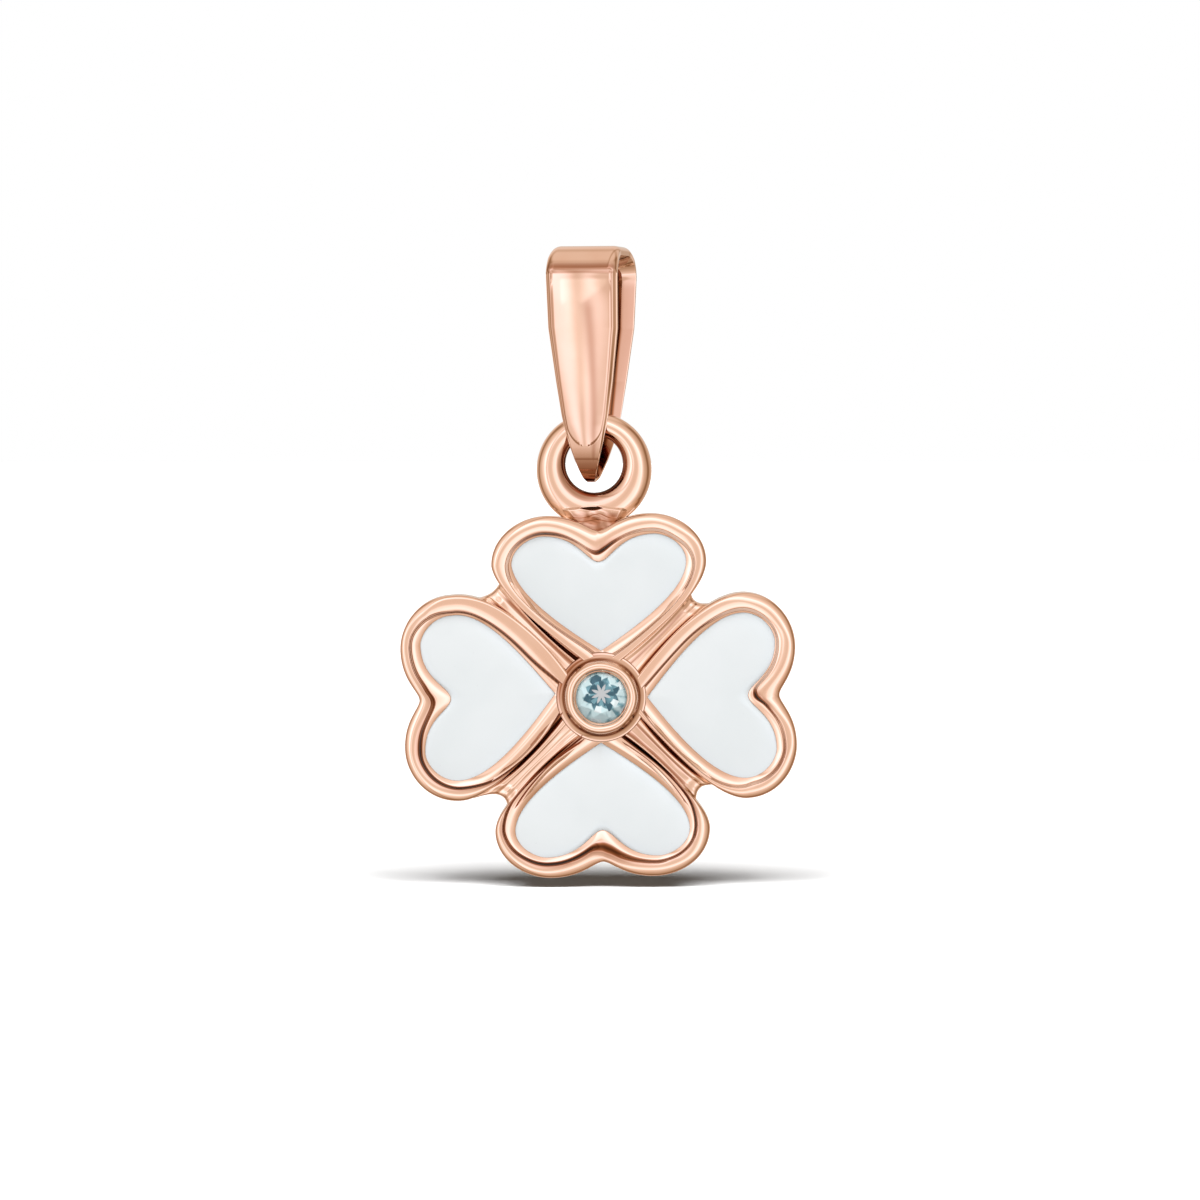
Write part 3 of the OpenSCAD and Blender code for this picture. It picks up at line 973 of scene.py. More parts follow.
    def filling(self) -> Surface:
        """The enamel: the outline at growing sizes, falling from the middle as share^5.

        Returns:
            The enamel's surface, from its middle over its edge to its foot.
        """
        shares = np.sin(np.radians(np.linspace(4.0, 90.0, 26)))
        rise = self.enamel_crown * (1 - shares**5)
        y = self.front_y + self.enamel_drop - rise
        inset = np.array([self.rim_w - self.enamel_tuck])
        rings = [self.outline(inset, s)[:, 0] for s in shares] + [self.outline(inset)[:, 0]]
        foot = self.back_y - self.back_t - self.enamel_sink
        grid = self.middle.seated(np.stack(rings), np.append(y, foot)[:, None])
        centre = self.outline(inset, 0.0)[0, 0][None]
        top = self.middle.seated(centre, self.front_y + self.enamel_drop - self.enamel_crown)[0]
        return Surface.dome(grid, top, self.middle.seated(centre, foot)[0])

    def build(self) -> None:
        """Makes the leaf's three pieces and dresses them."""
        name = self.heart.name
        make_piece(f"rim_{name}", self.rim(), self.gold, CLOVER_METAL)
        make_piece(f"back_plate_{name}", self.plate(), self.gold, CLOVER_METAL)
        make_piece(f"enamel_filling_{name}", self.filling(), self.enamel,
                   Role(Body.CLOVER, Slot.ENAMEL, (f"enamel_{name}",)))


HEARTS = (
    Heart("top", 90.5, 0.6, 5.57, 3.29, (0.48, 0.31), (-0.12, 0.0), (
        Line(0.02, 0.74, 0.30, edge=0.12), Line(0.07, 0.60, 0.25, edge=0.12),
        Line(0.12, 0.55, 0.15, edge=0.14), Line(0.17, 0.80, 0.05, edge=0.3),
        Line(0.28, 0.86, 0.60, 0.08), Line(0.34, 0.86, 0.95, 0.08),
        Line(0.39, 0.84, 0.45, 0.07), Line(0.43, 0.80, 0.20, 0.07), Line(0.48, 0.74, 0.70, 0.08),
        Line(0.52, 0.66, 1.00, 0.10), Line(0.56, 0.66, 0.90, 0.09), Line(0.60, 0.72, 0.35, 0.08),
        Line(0.66, 0.80, 0.10), Line(0.75, 0.86, 0.00), Line(0.84, 0.62, 0.20, edge=0.3),
        Line(0.90, 0.45, 0.20, edge=0.14), Line(0.97, 0.45, 0.15, edge=0.12),
    )),
    Heart("right", 0.0, 0.6, 5.96, 3.15, (0.0, 0.4), (0.0, 0.0), (
        Line(0.02, 0.60, 0.50, 0.07, edge=0.12), Line(0.06, 0.68, 0.80, 0.06, edge=0.12),
        Line(0.10, 0.70, 0.60, 0.07, edge=0.14), Line(0.13, 0.80, 0.20, edge=0.2),
        Line(0.20, 0.85, 0.00), Line(0.30, 0.88, 0.20, 0.06),
        Line(0.40, 0.88, 0.10), Line(0.46, 0.88, 0.20, 0.06), Line(0.485, 0.80, 0.90, 0.08),
        Line(0.52, 0.72, 1.00, 0.12), Line(0.545, 0.60, 0.95, 0.09), Line(0.58, 0.62, 0.50, 0.07),
        Line(0.62, 0.60, 0.20), Line(0.68, 0.62, 0.50), Line(0.75, 0.66, 0.40),
        Line(0.82, 0.72, 0.10), Line(0.88, 0.30, 0.20, edge=0.15),
        Line(0.95, 0.22, 0.30, edge=0.12),
    )),
    Heart("bottom", 270.0, 0.6, 5.52, 3.29, (0.56, 0.52), (0.0, -0.03), (
        Line(0.03, 0.05, 0.90, edge=0.12), Line(0.08, 0.00, 0.80, edge=0.12),
        Line(0.12, 0.30, 0.90, edge=0.16), Line(0.145, 0.62, 1.00, 0.08),
        Line(0.17, 0.74, 0.90, 0.08), Line(0.22, 0.74, 0.70, 0.07),
        Line(0.30, 0.76, 0.60, 0.07), Line(0.36, 0.70, 0.70), Line(0.42, 0.54, 0.75, 0.17),
        Line(0.48, 0.47, 0.80, 0.20), Line(0.52, 0.52, 0.75, 0.18), Line(0.56, 0.64, 0.90, 0.12),
        Line(0.62, 0.70, 1.00, 0.10), Line(0.68, 0.68, 1.00, 0.10), Line(0.74, 0.64, 0.90, 0.09),
        Line(0.80, 0.52, 0.60), Line(0.85, 0.38, 0.60, edge=0.25),
        Line(0.88, 0.12, 0.70, edge=0.14), Line(0.93, 0.02, 0.80, edge=0.12),
        Line(0.97, 0.15, 0.60, edge=0.12),
    )),
    Heart("left", 179.7, 2.4, 6.08, 3.15, (0.32, -0.44), (0.0, 0.15), (
        Line(0.05, 0.00, 0.80, edge=0.12), Line(0.09, 0.02, 0.80, edge=0.12),
        Line(0.12, 0.28, 0.80, edge=0.16), Line(0.15, 0.62, 1.00, 0.08),
        Line(0.20, 0.68, 0.85, 0.09), Line(0.28, 0.74, 0.90, 0.10),
        Line(0.34, 0.76, 0.95, 0.12), Line(0.40, 0.68, 0.75, 0.10), Line(0.45, 0.54, 0.60),
        Line(0.50, 0.42, 0.70), Line(0.54, 0.38, 0.70), Line(0.58, 0.46, 0.50),
        Line(0.64, 0.50, 0.25), Line(0.70, 0.50, 0.20), Line(0.76, 0.66, 0.30),
        Line(0.82, 0.84, 0.50, 0.07, edge=0.25), Line(0.88, 0.84, 0.80, 0.06, edge=0.14),
        Line(0.95, 0.82, 0.90, 0.07, edge=0.12),
    )),
)


# The bars between the hearts


@dataclass(frozen=True)
class Spoke:
    """One bar between two hearts, with the web of metal that fills the corner.

    Attributes:
        name: Its corner of the clover.
        angle: Its direction from the clover's middle.
        end: How far out its end lies.
        end_shift: Where on its width the end is shortest.
        bulge: How much further the end runs beside the rims.
        ridges: Rows across the bar, each with the place beside its middle line, the depth below the
            rims' tops, and the painted shade.
    """

    name: str
    angle: float
    end: float
    end_shift: float
    bulge: float
    ridges: tuple[tuple[float, float, float], ...]


SPOKES = (
    Spoke("upper_right", 44.5, 4.10, 0.06, 0.5, (
        (0.60, 0.40, 0.00), (0.47, 0.12, 0.00), (0.38, 0.06, 0.00), (0.31, 0.09, 0.00),
        (0.275, 0.15, 0.30), (0.24, 0.10, 0.00), (0.215, 0.08, 0.00), (0.14, 0.13, 0.10),
        (0.06, 0.16, 0.35), (0.00, 0.13, 0.05), (-0.06, 0.09, 0.00), (-0.14, 0.12, 0.00),
        (-0.19, 0.19, 0.50), (-0.235, 0.22, 0.75), (-0.275, 0.16, 0.40), (-0.31, 0.08, 0.00),
        (-0.38, 0.05, 0.00), (-0.47, 0.12, 0.00), (-0.60, 0.40, 0.00),
    )),
    Spoke("upper_left", 134.7, 4.62, 0.0, 0.2, (
        (0.60, 0.40, 0.00), (0.47, 0.12, 0.00), (0.38, 0.05, 0.00), (0.26, 0.06, 0.00),
        (0.225, 0.12, 0.40), (0.19, 0.22, 1.00), (0.155, 0.14, 0.40), (0.12, 0.10, 0.08),
        (0.05, 0.11, 0.10), (0.00, 0.12, 0.10), (-0.035, 0.14, 0.30), (-0.07, 0.16, 0.55),
        (-0.10, 0.12, 0.15), (-0.14, 0.08, 0.00), (-0.165, 0.14, 0.60), (-0.19, 0.24, 1.00),
        (-0.215, 0.14, 0.50), (-0.25, 0.06, 0.00), (-0.38, 0.05, 0.00), (-0.47, 0.12, 0.00),
        (-0.60, 0.40, 0.00),
    )),
    Spoke("lower_left", 224.4, 4.31, 0.09, 0.5, (
        (0.60, 0.40, 0.00), (0.48, 0.12, 0.00), (0.40, 0.06, 0.00), (0.345, 0.12, 0.40),
        (0.305, 0.24, 1.00), (0.265, 0.14, 0.40), (0.22, 0.09, 0.00), (0.18, 0.08, 0.00),
        (0.12, 0.11, 0.15), (0.05, 0.08, 0.00), (0.00, 0.08, 0.00), (-0.09, 0.12, 0.15),
        (-0.14, 0.08, 0.00), (-0.21, 0.09, 0.00), (-0.25, 0.14, 0.40), (-0.29, 0.25, 1.00),
        (-0.33, 0.12, 0.40), (-0.37, 0.06, 0.00), (-0.41, 0.08, 0.10), (-0.46, 0.14, 0.50),
        (-0.51, 0.14, 0.20), (-0.60, 0.40, 0.00),
    )),
    Spoke("lower_right", 315.7, 4.13, 0.05, 0.5, (
        (0.60, 0.40, 0.00), (0.47, 0.12, 0.00), (0.38, 0.06, 0.00), (0.315, 0.12, 0.40),
        (0.275, 0.22, 0.95), (0.235, 0.12, 0.40), (0.19, 0.07, 0.00), (0.15, 0.08, 0.00),
        (0.09, 0.13, 0.45), (0.06, 0.12, 0.15), (0.00, 0.12, 0.12), (-0.08, 0.13, 0.15),
        (-0.15, 0.16, 0.50), (-0.185, 0.12, 0.10), (-0.21, 0.10, 0.00), (-0.25, 0.15, 0.50),
        (-0.30, 0.27, 1.00), (-0.35, 0.20, 0.90), (-0.39, 0.08, 0.10), (-0.47, 0.07, 0.00),
        (-0.60, 0.30, 0.00),
    )),
)


@dataclass(frozen=True)
class Spokes:
    """The four bars that run from the bezel to the corners between the hearts."""

    middle: Middle
    gold: bpy.types.Material
    front_y: float = FRONT_Y
    back_y: float = BACK_Y
    start: float = 0.95
    half_w: float = 0.55
    end_round: float = 0.16
    bow: float = 0.35
    bow_reach: float = 1.2
    waist: float = 2.8
    uneven: float = 0.008
    uneven_wave: float = 0.5
    dip: float = 0.10
    under: float = 0.1
    under_fall: float = 0.3
    first_seed: int = 31

    def surface(self, spoke: Spoke, seed: int) -> Surface:
        """A bar as a height field over its length and width.

        The depth across follows the bar's ridges, softened. They spread apart as the square
        of the distance from the bar's waist. Along the bar they keep their depth, with slight
        unevenness, and round down at the end, whose edge is a parabola that runs further out
        beside the rims.

        Args:
            spoke: The bar.
            seed: Seed of its unevenness.

        Returns:
            The bar's surface.
        """
        across = np.linspace(-self.half_w, self.half_w, 141)
        table = np.array(spoke.ridges[::-1])
        shifts = np.linspace(-SOFTENED, SOFTENED, 5)[:, None, None]
        end = spoke.end + spoke.bulge * (across - spoke.end_shift) ** 2 / self.half_w**2
        share = np.linspace(0.0, 1.0, 90) ** 0.8
        along = self.start + share[:, None] * (end - self.start)
        flat = np.stack([along, np.broadcast_to(across, along.shape)], -1)
        place = across / (1 + self.bow * ((along - self.waist) / self.bow_reach) ** 2)
        depth, dark = (np.interp(place + shifts, table[:, 0], table[:, k]).mean(0) for k in (1, 2))
        uneven = self.uneven * ripple(flat * np.array([0.35, 1.0]), self.uneven_wave, seed)
        left = end - along
        edge = self.end_round * (1 - np.sqrt(np.clip(1 - (1 - left / self.end_round) ** 2, 0, 1)))
        fall = np.where(left < self.end_round, edge, 0.0) + self.dip * smooth(left, 0.5, 0.1)
        placed = spun(flat, spoke.angle)
        front = self.middle.seated(placed, self.front_y + depth + uneven + fall)
        back = self.middle.seated(placed, self.back_y - self.under - self.under_fall * fall)
        # Painted shade from the ridges' table, fading towards the bar's end
        shade = dark * smooth(left, 0.1, 0.7)
        return Surface.slab(front, back, shade)

    def build(self) -> None:
        """Makes the four bars and dresses them."""
        for seed, spoke in enumerate(SPOKES, self.first_seed):
            make_piece(f"bar_{spoke.name}", self.surface(spoke, seed), self.gold, CLOVER_METAL)


@dataclass(frozen=True)
class Bezel:
    """The round setting in the middle: a cup, and on it the rounded rim that holds the stone."""

    middle: Middle
    gold: bpy.types.Material
    front_y: float = FRONT_Y
    back_y: float = BACK_Y
    rim_r: float = 1.13
    open_r: float = 0.77
    cup_r: float = CUP_R
    rise: float = 0.38
    round_h: float = 0.16
    outer_h: float = 0.27
    inner_h: float = 0.1
    bevel: float = 0.05
    hole_r: float = 0.45
    seat_r: float = 0.87
    table_drop: float = 0.07
    crown_h: float = 0.26
    # The rounding of the cup's edge, how far below the rims it ends, and how much it slopes
    edge_round: float = 0.05
    edge_drop: float = 0.10
    edge_rise: float = 0.06

    def profile(self) -> Array:
        """Half a section through the setting, as distance from the axis and height.

        Heights count from the rims' tops towards the viewer. The rim's top is half an
        ellipse, taller on its outside, with a narrow burnished bevel inside it. The cup's
        edge slopes down from the rim's foot, and the rest is straight.

        Returns:
            The section's points, once round.
        """
        back = self.front_y - self.back_y
        turn = np.radians(np.linspace(0.0, 180.0, 33))
        inner_r = self.open_r + self.bevel
        centre, half = (self.rim_r + inner_r) / 2, (self.rim_r - inner_r) / 2
        top_r = centre + half * np.cos(turn)
        top_h = self.rise - self.round_h + self.round_h * np.sin(turn) ** 0.8
        outer_h = self.rise - self.outer_h * (1 - np.sin(turn) ** 0.8)
        inner_h = np.maximum(top_h, self.rise - self.inner_h)
        top_h = np.where(turn > np.pi / 2, inner_h, outer_h)
        cup = np.radians(np.linspace(0.0, 90.0, 9))
        edge_r = self.cup_r - self.edge_round + self.edge_round * np.cos(cup)
        edge_h = -self.edge_drop + self.edge_rise * np.sin(cup)
        outside = np.array([[self.hole_r, back - 0.01], [self.rim_r, back - 0.01],
                            [self.cup_r - 0.06, back - 0.01], [self.cup_r, back + 0.05],
                            [self.cup_r, -0.40]])
        foot = np.array([[self.cup_r - 0.10, -0.02], [self.rim_r + 0.10, 0.01],
                         [self.rim_r + 0.06, 0.03], [self.rim_r + 0.03, 0.06],
                         [self.rim_r + 0.01, 0.10]])
        girdle = self.rise - self.table_drop - self.crown_h
        inside = np.array([
            [self.open_r + 0.005, self.rise - 0.13], [self.open_r, self.rise - 0.17],
            [self.seat_r, girdle + 0.02], [self.seat_r, girdle - 0.07],
            [self.hole_r, girdle - 0.5],
        ])
        return np.concatenate([outside, np.stack([edge_r, edge_h], -1), foot,
                               np.stack([top_r, top_h], -1), inside])

    def build(self) -> None:
        """Turns the section round the middle, with the slight unevenness of hand work.

        Painted shade is darkest in the groove at the rim's foot, more so on the upper left, at the
        bottom and on the right. More is painted on the upper left of the cup's edge and inside the
        rim.
        """
        section = self.profile()
        angle = np.radians(np.arange(144) * 2.5)[:, None]
        r, h = section[:, 0], section[:, 1]
        raised = smooth(h, 0.05, 0.3)
        r = r + 0.006 * raised * (np.sin(3 * angle + 0.6) + 0.6 * np.sin(7 * angle + 2.0))
        h = h + 0.008 * raised * (np.sin(2 * angle + 1.0) + 0.5 * np.sin(5 * angle))
        flat = np.stack([r * np.cos(angle), r * np.sin(angle)], -1)
        points = self.middle.seated(flat, self.front_y - h)
        ring = np.hypot(flat[..., 0], flat[..., 1])
        # Painted shade: darkest in crescents to the upper left, the bottom and the right
        crescent, low, right = (facing(angle, towards) for towards in (2.5, -1.7, 0.25))
        dark = np.maximum(np.maximum(crescent**2, low**5), 0.8 * right**6)
        bands = (  # Each one's middle, half width and strength
            (self.rim_r + 0.03, 0.035, 0.80 * (0.10 + 0.90 * dark)),
            (self.rim_r + 0.15, 0.05, 0.60 * crescent**6),
            (self.rim_r - 0.03, 0.05, 0.22 * (0.3 + 0.7 * low)),
            (self.open_r + 0.045, 0.02, 0.25),
        )
        shade = sum(strength * hump(ring, place, width) for place, width, strength in bands)
        shade = shade + 0.08 * smooth(ring, self.rim_r + 0.03, self.rim_r + 0.08)
        shade = shade + (0.08 + 0.6 * crescent**3) * smooth(h, -0.03, -0.07) * (ring > self.rim_r)
        shade = shade + 0.5 * (ring < self.open_r - 0.002)
        shade = np.clip(shade, 0, 1) * (h > -0.35)  # None where the cup is hidden in the hearts
        make_piece("bezel_cup", Surface.ring(points, shade), self.gold, CLOVER_METAL)


@dataclass(frozen=True)
class Eye:
    """The ring on top of the clover, and the solder that joins it to the top heart."""

    leaf: Leaf
    gold: bpy.types.Material
    solder: bpy.types.Material
    x: float = 0.08
    hole_z: float = -6.23
    middle_z: float = -6.41
    hole_r: float = 0.875
    outer_r: float = 1.765
    half_t: float = EYE_HALF_T
    tuck: float = 0.13
    # The solder: half the arc that it covers, its part of the heart's outline, its bulge at the
    # ring, the gain of that, and at its sides, and the pit's half width, half height and middle
    arc: float = 47.0
    way: float = 0.085
    bulge: float = 0.355
    bulge_gain: float = 0.075
    side_bulge: float = 0.20
    pit_half_w: float = 0.38
    pit_half_h: float = 0.085
    pit_z: float = -7.575
    pit_depth: float = 0.03

    def ring(self) -> Surface:
        """The ring: an ellipse carried round a hole that sits high in the outer circle.

        Returns:
            The ring's surface, whose wire grows from the top to the bottom.
        """
        a = np.radians(np.arange(160) * 2.25)[:, None]
        b = np.radians(np.arange(48) * 7.5)[None, :]
        rise = self.hole_z - self.middle_z
        out = -rise * np.sin(a) + np.sqrt(self.outer_r**2 - (rise * np.cos(a)) ** 2)
        r = (out + self.hole_r) / 2 + (out - self.hole_r) / 2 * np.cos(b)
        y = self.half_t * np.sign(np.sin(b)) * np.abs(np.sin(b)) ** 0.9 + 0.0 * r
        points = np.stack([self.x + r * np.cos(a), y, self.hole_z + r * np.sin(a)], -1)
        share = (r - self.hole_r) / (out - self.hole_r)
        # Painted shade at the hole's edge, in a line on the left, and over the wire's inner side
        # towards the lower left
        left = smooth(np.cos(a), -0.1, -0.5)
        inside = facing(a, np.radians(230.0))
        shade = 0.80 * hump(share, 0.0, 0.06) + 0.35 * left * hump(share, 0.66, 0.03)
        shade = shade + 0.33 * inside * hump(share, 0.20, 0.17)
        return Surface.ring(points, np.minimum(shade, 1.0))

    def joint(self) -> Surface:
        """The solder: a strip between an arc of the ring and the top heart's outline.

        Its front and back bulge between the two and thin out towards the sides. A ridge runs across
        them, and a pit shaped like a lens lies just under the ring's wire. Painted shade fills the
        pit and lines the rim and both sides of the ridge, the rest is made darker all over, and all
        of it fades at the sides.

        Returns:
            The solder's surface.
        """
        side = np.linspace(-1.0, 1.0, 141)
        angle = np.radians(-90.0 + self.arc * side)
        reach = self.outer_r * (0.60 + 0.37 * np.abs(side) ** 2.2)
        arc = np.stack([self.x + reach * np.cos(angle), self.middle_z + reach * np.sin(angle)], -1)
        line = self.leaf.outline(np.array([self.tuck]))[:, 0]
        placed = self.leaf.middle.seated(line, 0.0)[:, [0, 2]]
        way = (0.5 + self.way * side) * len(placed)
        lower = np.stack([np.interp(way, np.arange(len(placed)), placed[:, k]) for k in (0, 1)], -1)
        t = np.linspace(0.0, 1.0, 80)[:, None]
        flat = arc[:, None] * (1 - t) + lower[:, None] * t
        down = np.broadcast_to(t[:, 0], flat.shape[:2])
        edge = smooth(np.abs(side)[:, None], 1.0, 0.75)
        bulge = self.bulge + self.bulge_gain * smooth(down, 0.0, 0.14) + 0.02 * down
        bulge = bulge * edge + self.side_bulge * (1 - edge)
        ridge = hump(down + 0.06 * ripple(flat, 1.1, 8), 0.45, 0.09)
        uneven = ripple(flat * [1.0, 1.6], 0.75, 5) * smooth(down, 0.05, 0.3)
        bulge = bulge + edge * (0.020 * uneven + 0.02 * ridge)
        # The pit is dented a little and painted black as its shadow
        lens = 1 - (flat[..., 0] / self.pit_half_w) ** 2
        slit = smooth(self.pit_half_h * lens - np.abs(flat[..., 1] - self.pit_z), 0.0, 0.03)
        bulge = bulge - self.pit_depth * slit
        from_rim = (1 - t[:, 0]) * np.linalg.norm(lower - arc, axis=-1)[:, None] - self.tuck
        # Painted shade in the pit, along the rim and beside the ridge, over a darker tone all over
        darkening = (0.34 + 0.12 * smooth(uneven, 0.3, -0.5)) * edge * smooth(down, 0.05, 0.4)
        shade = np.maximum(0.95 * slit, darkening)
        shade = shade + 0.75 * hump(from_rim, 0.0, 0.045) + 0.30 * hump(ridge, 0.55, 0.10) * edge
        points = [np.stack([flat[..., 0], y, flat[..., 1]], -1) for y in (-bulge, bulge)]
        return Surface.slab(*points, np.minimum(shade, 1.0) * edge)

    def build(self) -> None:
        """Makes the ring and its solder and dresses them."""
        make_piece("eye_ring", self.ring(), self.gold, CLOVER_METAL)
        make_piece("eye_solder", self.joint(), self.solder, CLOVER_METAL)


# The bail

# Width of the bail's strip. Columns: share of the drop from the outside top to the tip,
# share of the strip's full width, and relief of its inner corners.
BAIL_TAPER = np.array([
    [0.00, 0.96, 0.00], [0.04, 1.00, 0.00], [0.12, 1.01, 0.00], [0.34, 0.98, 0.00],
    [0.56, 0.80, 0.10], [0.64, 0.72, 0.60], [0.70, 0.66, 1.00], [0.82, 0.49, 1.00],
    [0.90, 0.35, 1.00], [0.95, 0.25, 1.00], [0.985, 0.18, 1.00], [1.00, 0.11, 1.00],
])


@dataclass(frozen=True)
class Bail:
    """The tapered strip bent into a closed loop, with a domed panel on each leg."""

    gold: bpy.types.Material
    width: float = 2.2
    depth: float = 3.1
    thick: float = 0.44
    tip_thick: float = 0.66
    shoulder_r: float = 1.05
    eye_drop: float = 5.0
    turn: float = 13.0
    tip_z: float = -6.975
    eye_half_t: float = EYE_HALF_T
    seat_gap: float = 0.06
    round_pull: float = 0.55
    tip_pull: float = 0.45
    panel_top: float = -0.40
    panel_end: float = -5.70
    panel_share: float = 0.85
    panel_lift: float = 0.17
    panel_round: float = 0.55
    panel_crown: float = 0.75
    # The face's share of the thickness, how far it drops at each step, the steps' lines, and
    # how much higher the roll is
    face_share: float = 0.82
    step_drop: float = 0.05
    step_lines: tuple[float, float] = (-6.17, -6.56)
    roll_lift: float = 0.14

    def half_loop(self, top: float, half_depth: float, shoulder: float, seat_half: float,
                  tip: float) -> Array:
        """Half of one side of the loop: a flat top, two cubics and a straight leg between.

        Args:
            top: The height of the top.
            half_depth: The depth at the shoulder.
            shoulder: The shoulder's radius.
            seat_half: The depth beside the eye's wire.
            tip: The height of the tip.

        Returns:
            Depths and heights, from the middle of the top to the tip.
        """
        corner = np.array([half_depth, top - shoulder])
        seat = np.array([seat_half, -self.eye_drop])
        down = (seat - corner) / np.linalg.norm(seat - corner)
        bend = -self.eye_drop - tip
        over = np.array([[half_depth - shoulder, top],
                         [half_depth - (1 - self.round_pull) * shoulder, top],
                         corner - self.round_pull * shoulder * down, corner])
        under = np.array([seat, seat + self.tip_pull * bend * down,
                          [self.round_pull * seat_half, tip], [0.0, tip]])
        flat = np.array([0.0, top]) + np.linspace(0, 1, 7)[:-1, None] * (over[0] - [0.0, top])
        leg = corner + (np.arange(150) / 150)[:, None] * (seat - corner)
        return np.concatenate([flat, cubic(over, np.arange(30) / 30), leg,
                               cubic(under, np.linspace(0.0, 1.0, 61))])

    def loop(self, *sizes: float) -> Array:
        """The whole loop: the front half from the top to the tip, and the back half up again.

        Args:
            *sizes: The sizes that half_loop takes.

        Returns:
            Depths and heights, once round.
        """
        half = self.half_loop(*sizes)
        return np.concatenate([half * [-1.0, 1.0], half[-2:0:-1]])

    def face(self, across: Array, z: Array, side_share: Array) -> tuple[Array, Array]:
        """How far the strip's outside stands out, as a share of its thickness, and its shade.

        Over the roll at the top the strip's corners are rounded, and below it the strip is flat
        between two bevels. The domed panel rises there from a crisp line under the roll to a round
        end above the tip, and two fine steps cross the strip below the panel. Painted shade darkens
        those lines, the panel's outline, a band on the roll and the foot. The panel itself has a
        little painted shade, but not in a slanting stripe and a patch at its head, which are
        painted highlights that stand in for what it mirrors.
        stand in for what it mirrors.

        Args:
            across: Share of the half width.
            z: Height in the loop.
            side_share: The share at the strip's sides.

        Returns:
            The share and the shade at each place.
        """
        u = np.abs(across)
        corner = 1 - np.sqrt(1 - np.clip((u - 0.76) / 0.24, 0, 1) ** 2)
        steps = smooth(z, -6.1, -6.2) + smooth(-z, 6.50, 6.58)
        flat = self.face_share - self.step_drop * steps
        roll = smooth(z, self.panel_top, self.panel_top + 0.10)
        bevel = smooth(u, 0.87, 1.0) * (1 - roll) + corner * roll
        t = np.clip((z - self.panel_end) / self.panel_round, 0.0, 1.0)
        reach = self.panel_share * np.sqrt(t * (2 - t))
        inside = smooth(reach - u, 0.0, 0.05) * (1 - roll)
        crown = 1 - self.panel_crown * (u / self.panel_share) ** 2
        head = 0.5 * hump(z, self.panel_top, 0.45)
        share = flat + self.panel_lift * (crown - head) * inside + self.roll_lift * roll
        # The stripe and the patch are painted highlights; the panel, the lines, the roll's band and
        # the foot get painted shade
        stripe = hump(across, -0.36 - 0.09 * z, 0.20)
        stripe = stripe * smooth(-z, 0.55, 0.75) * smooth(-z, 5.0, 3.4)
        patch = smooth(-z, 0.56, 0.68) * smooth(1.5 - 0.85 * np.maximum(across, 0) + z, 0.0, 0.35)
        patch = patch * smooth(across, -0.62, -0.5) * smooth(across, 0.80, 0.66)
        painted_highlight = np.maximum(stripe, patch)
        panel = 0.17 + 0.15 * hump(across, 0.10 - 0.07 * z, 0.16) * smooth(-z, 0.9, 1.6)
        panel = panel * (1 - painted_highlight) * (z < self.panel_top)
        rim = 0.35 * hump(reach - u, 0.0, 0.022) * (z < self.panel_top) * smooth(t, 0.0, 0.8)
        lines = [0.5 * hump(z, self.panel_top, 0.022), rim,
                 *(dark * hump(z, line, 0.02) for dark, line in zip((0.55, 0.6), self.step_lines)),
                 panel,
                 0.42 * hump(z, self.panel_top + 0.17, 0.15) * (z > self.panel_top),
                 (0.20 + 0.32 * smooth(-z, 5.9, 6.8)) * smooth(-z, 5.72, 5.80)]
        shade = np.max(np.broadcast_arrays(*lines), 0) * (1 - bevel)
        return share + (side_share - share) * bevel, shade

    def build(self) -> None:
        """Carries the strip's section round the loop and dresses it."""
        drop = self.thick - self.tip_z
        taper = [np.interp((self.thick + self.eye_drop) / drop, BAIL_TAPER[:, 0], BAIL_TAPER[:, k])
                 for k in (1, 2)]
        seat_half = (self.eye_half_t + self.width * taper[0] / 2 * np.sin(np.radians(self.turn))
                     + self.seat_gap)
        outer = self.loop(self.thick, self.depth / 2, self.shoulder_r, seat_half + self.thick,
                          self.tip_z)
        inner = self.loop(0.0, self.depth / 2 - self.thick, self.shoulder_r - self.thick,
                          seat_half, self.tip_z + self.tip_thick)
        share = (self.thick - outer[:, 1]) / drop
        half = self.width / 2 * np.interp(share, BAIL_TAPER[:, 0], BAIL_TAPER[:, 1])[:, None]
        relief = np.interp(share, BAIL_TAPER[:, 0], BAIL_TAPER[:, 2])[:, None]
        rows = np.ones_like(relief)
        inside = np.linspace(-1, 1, 81)[1:-1] * rows
        low, high = 0.32 + 0.26 * relief, 0.58 + 0.10 * relief
        start = 0.50 - 0.20 * relief
        beyond = np.clip((np.abs(inside) - start) / (1 - start), 0, 1)
        crowned = beyond ** (1.5 - 0.5 * relief) * low
        wall = low + (high - low) * np.linspace(0, 1, 4)
        face = np.sin(np.radians(np.linspace(90, -90, 75)))[1:-1]
        face_q, dark = self.face(face, outer[:, 1:], high)
        across = np.concatenate([inside, rows * np.ones(4), rows * face, -rows * np.ones(4)], 1)
        q = np.concatenate([crowned, wall, face_q, wall[:, ::-1]], 1)
        lean = np.radians(self.turn)
        # Painted shade inside the loop, darkest in a line beside the front leg's edge
        seen = (inside - 1) * half * np.cos(lean) + 2 * np.abs(inner[:, :1]) * np.sin(lean)
        inside_shade = np.where(outer[:, :1] < 0, 0.3, 0.50 * hump(seen, 0.0, 0.05) + 0.20)
        inside_shade = 0.12 + inside_shade * smooth(-inner[:, 1:], 0.2, 0.9)
        shade = np.concatenate([inside_shade, 0.0 * wall, dark, 0.0 * wall], 1)
        path = inner[:, None] + q[..., None] * (outer - inner)[:, None]
        flat = spun(np.stack([across * half, path[..., 0]], -1), -self.turn)
        points = np.stack([flat[..., 0], flat[..., 1], path[..., 1]], -1)
        make_piece("bail_strip", Surface.ring(points, shade), self.gold, BAIL_METAL)


# The studio


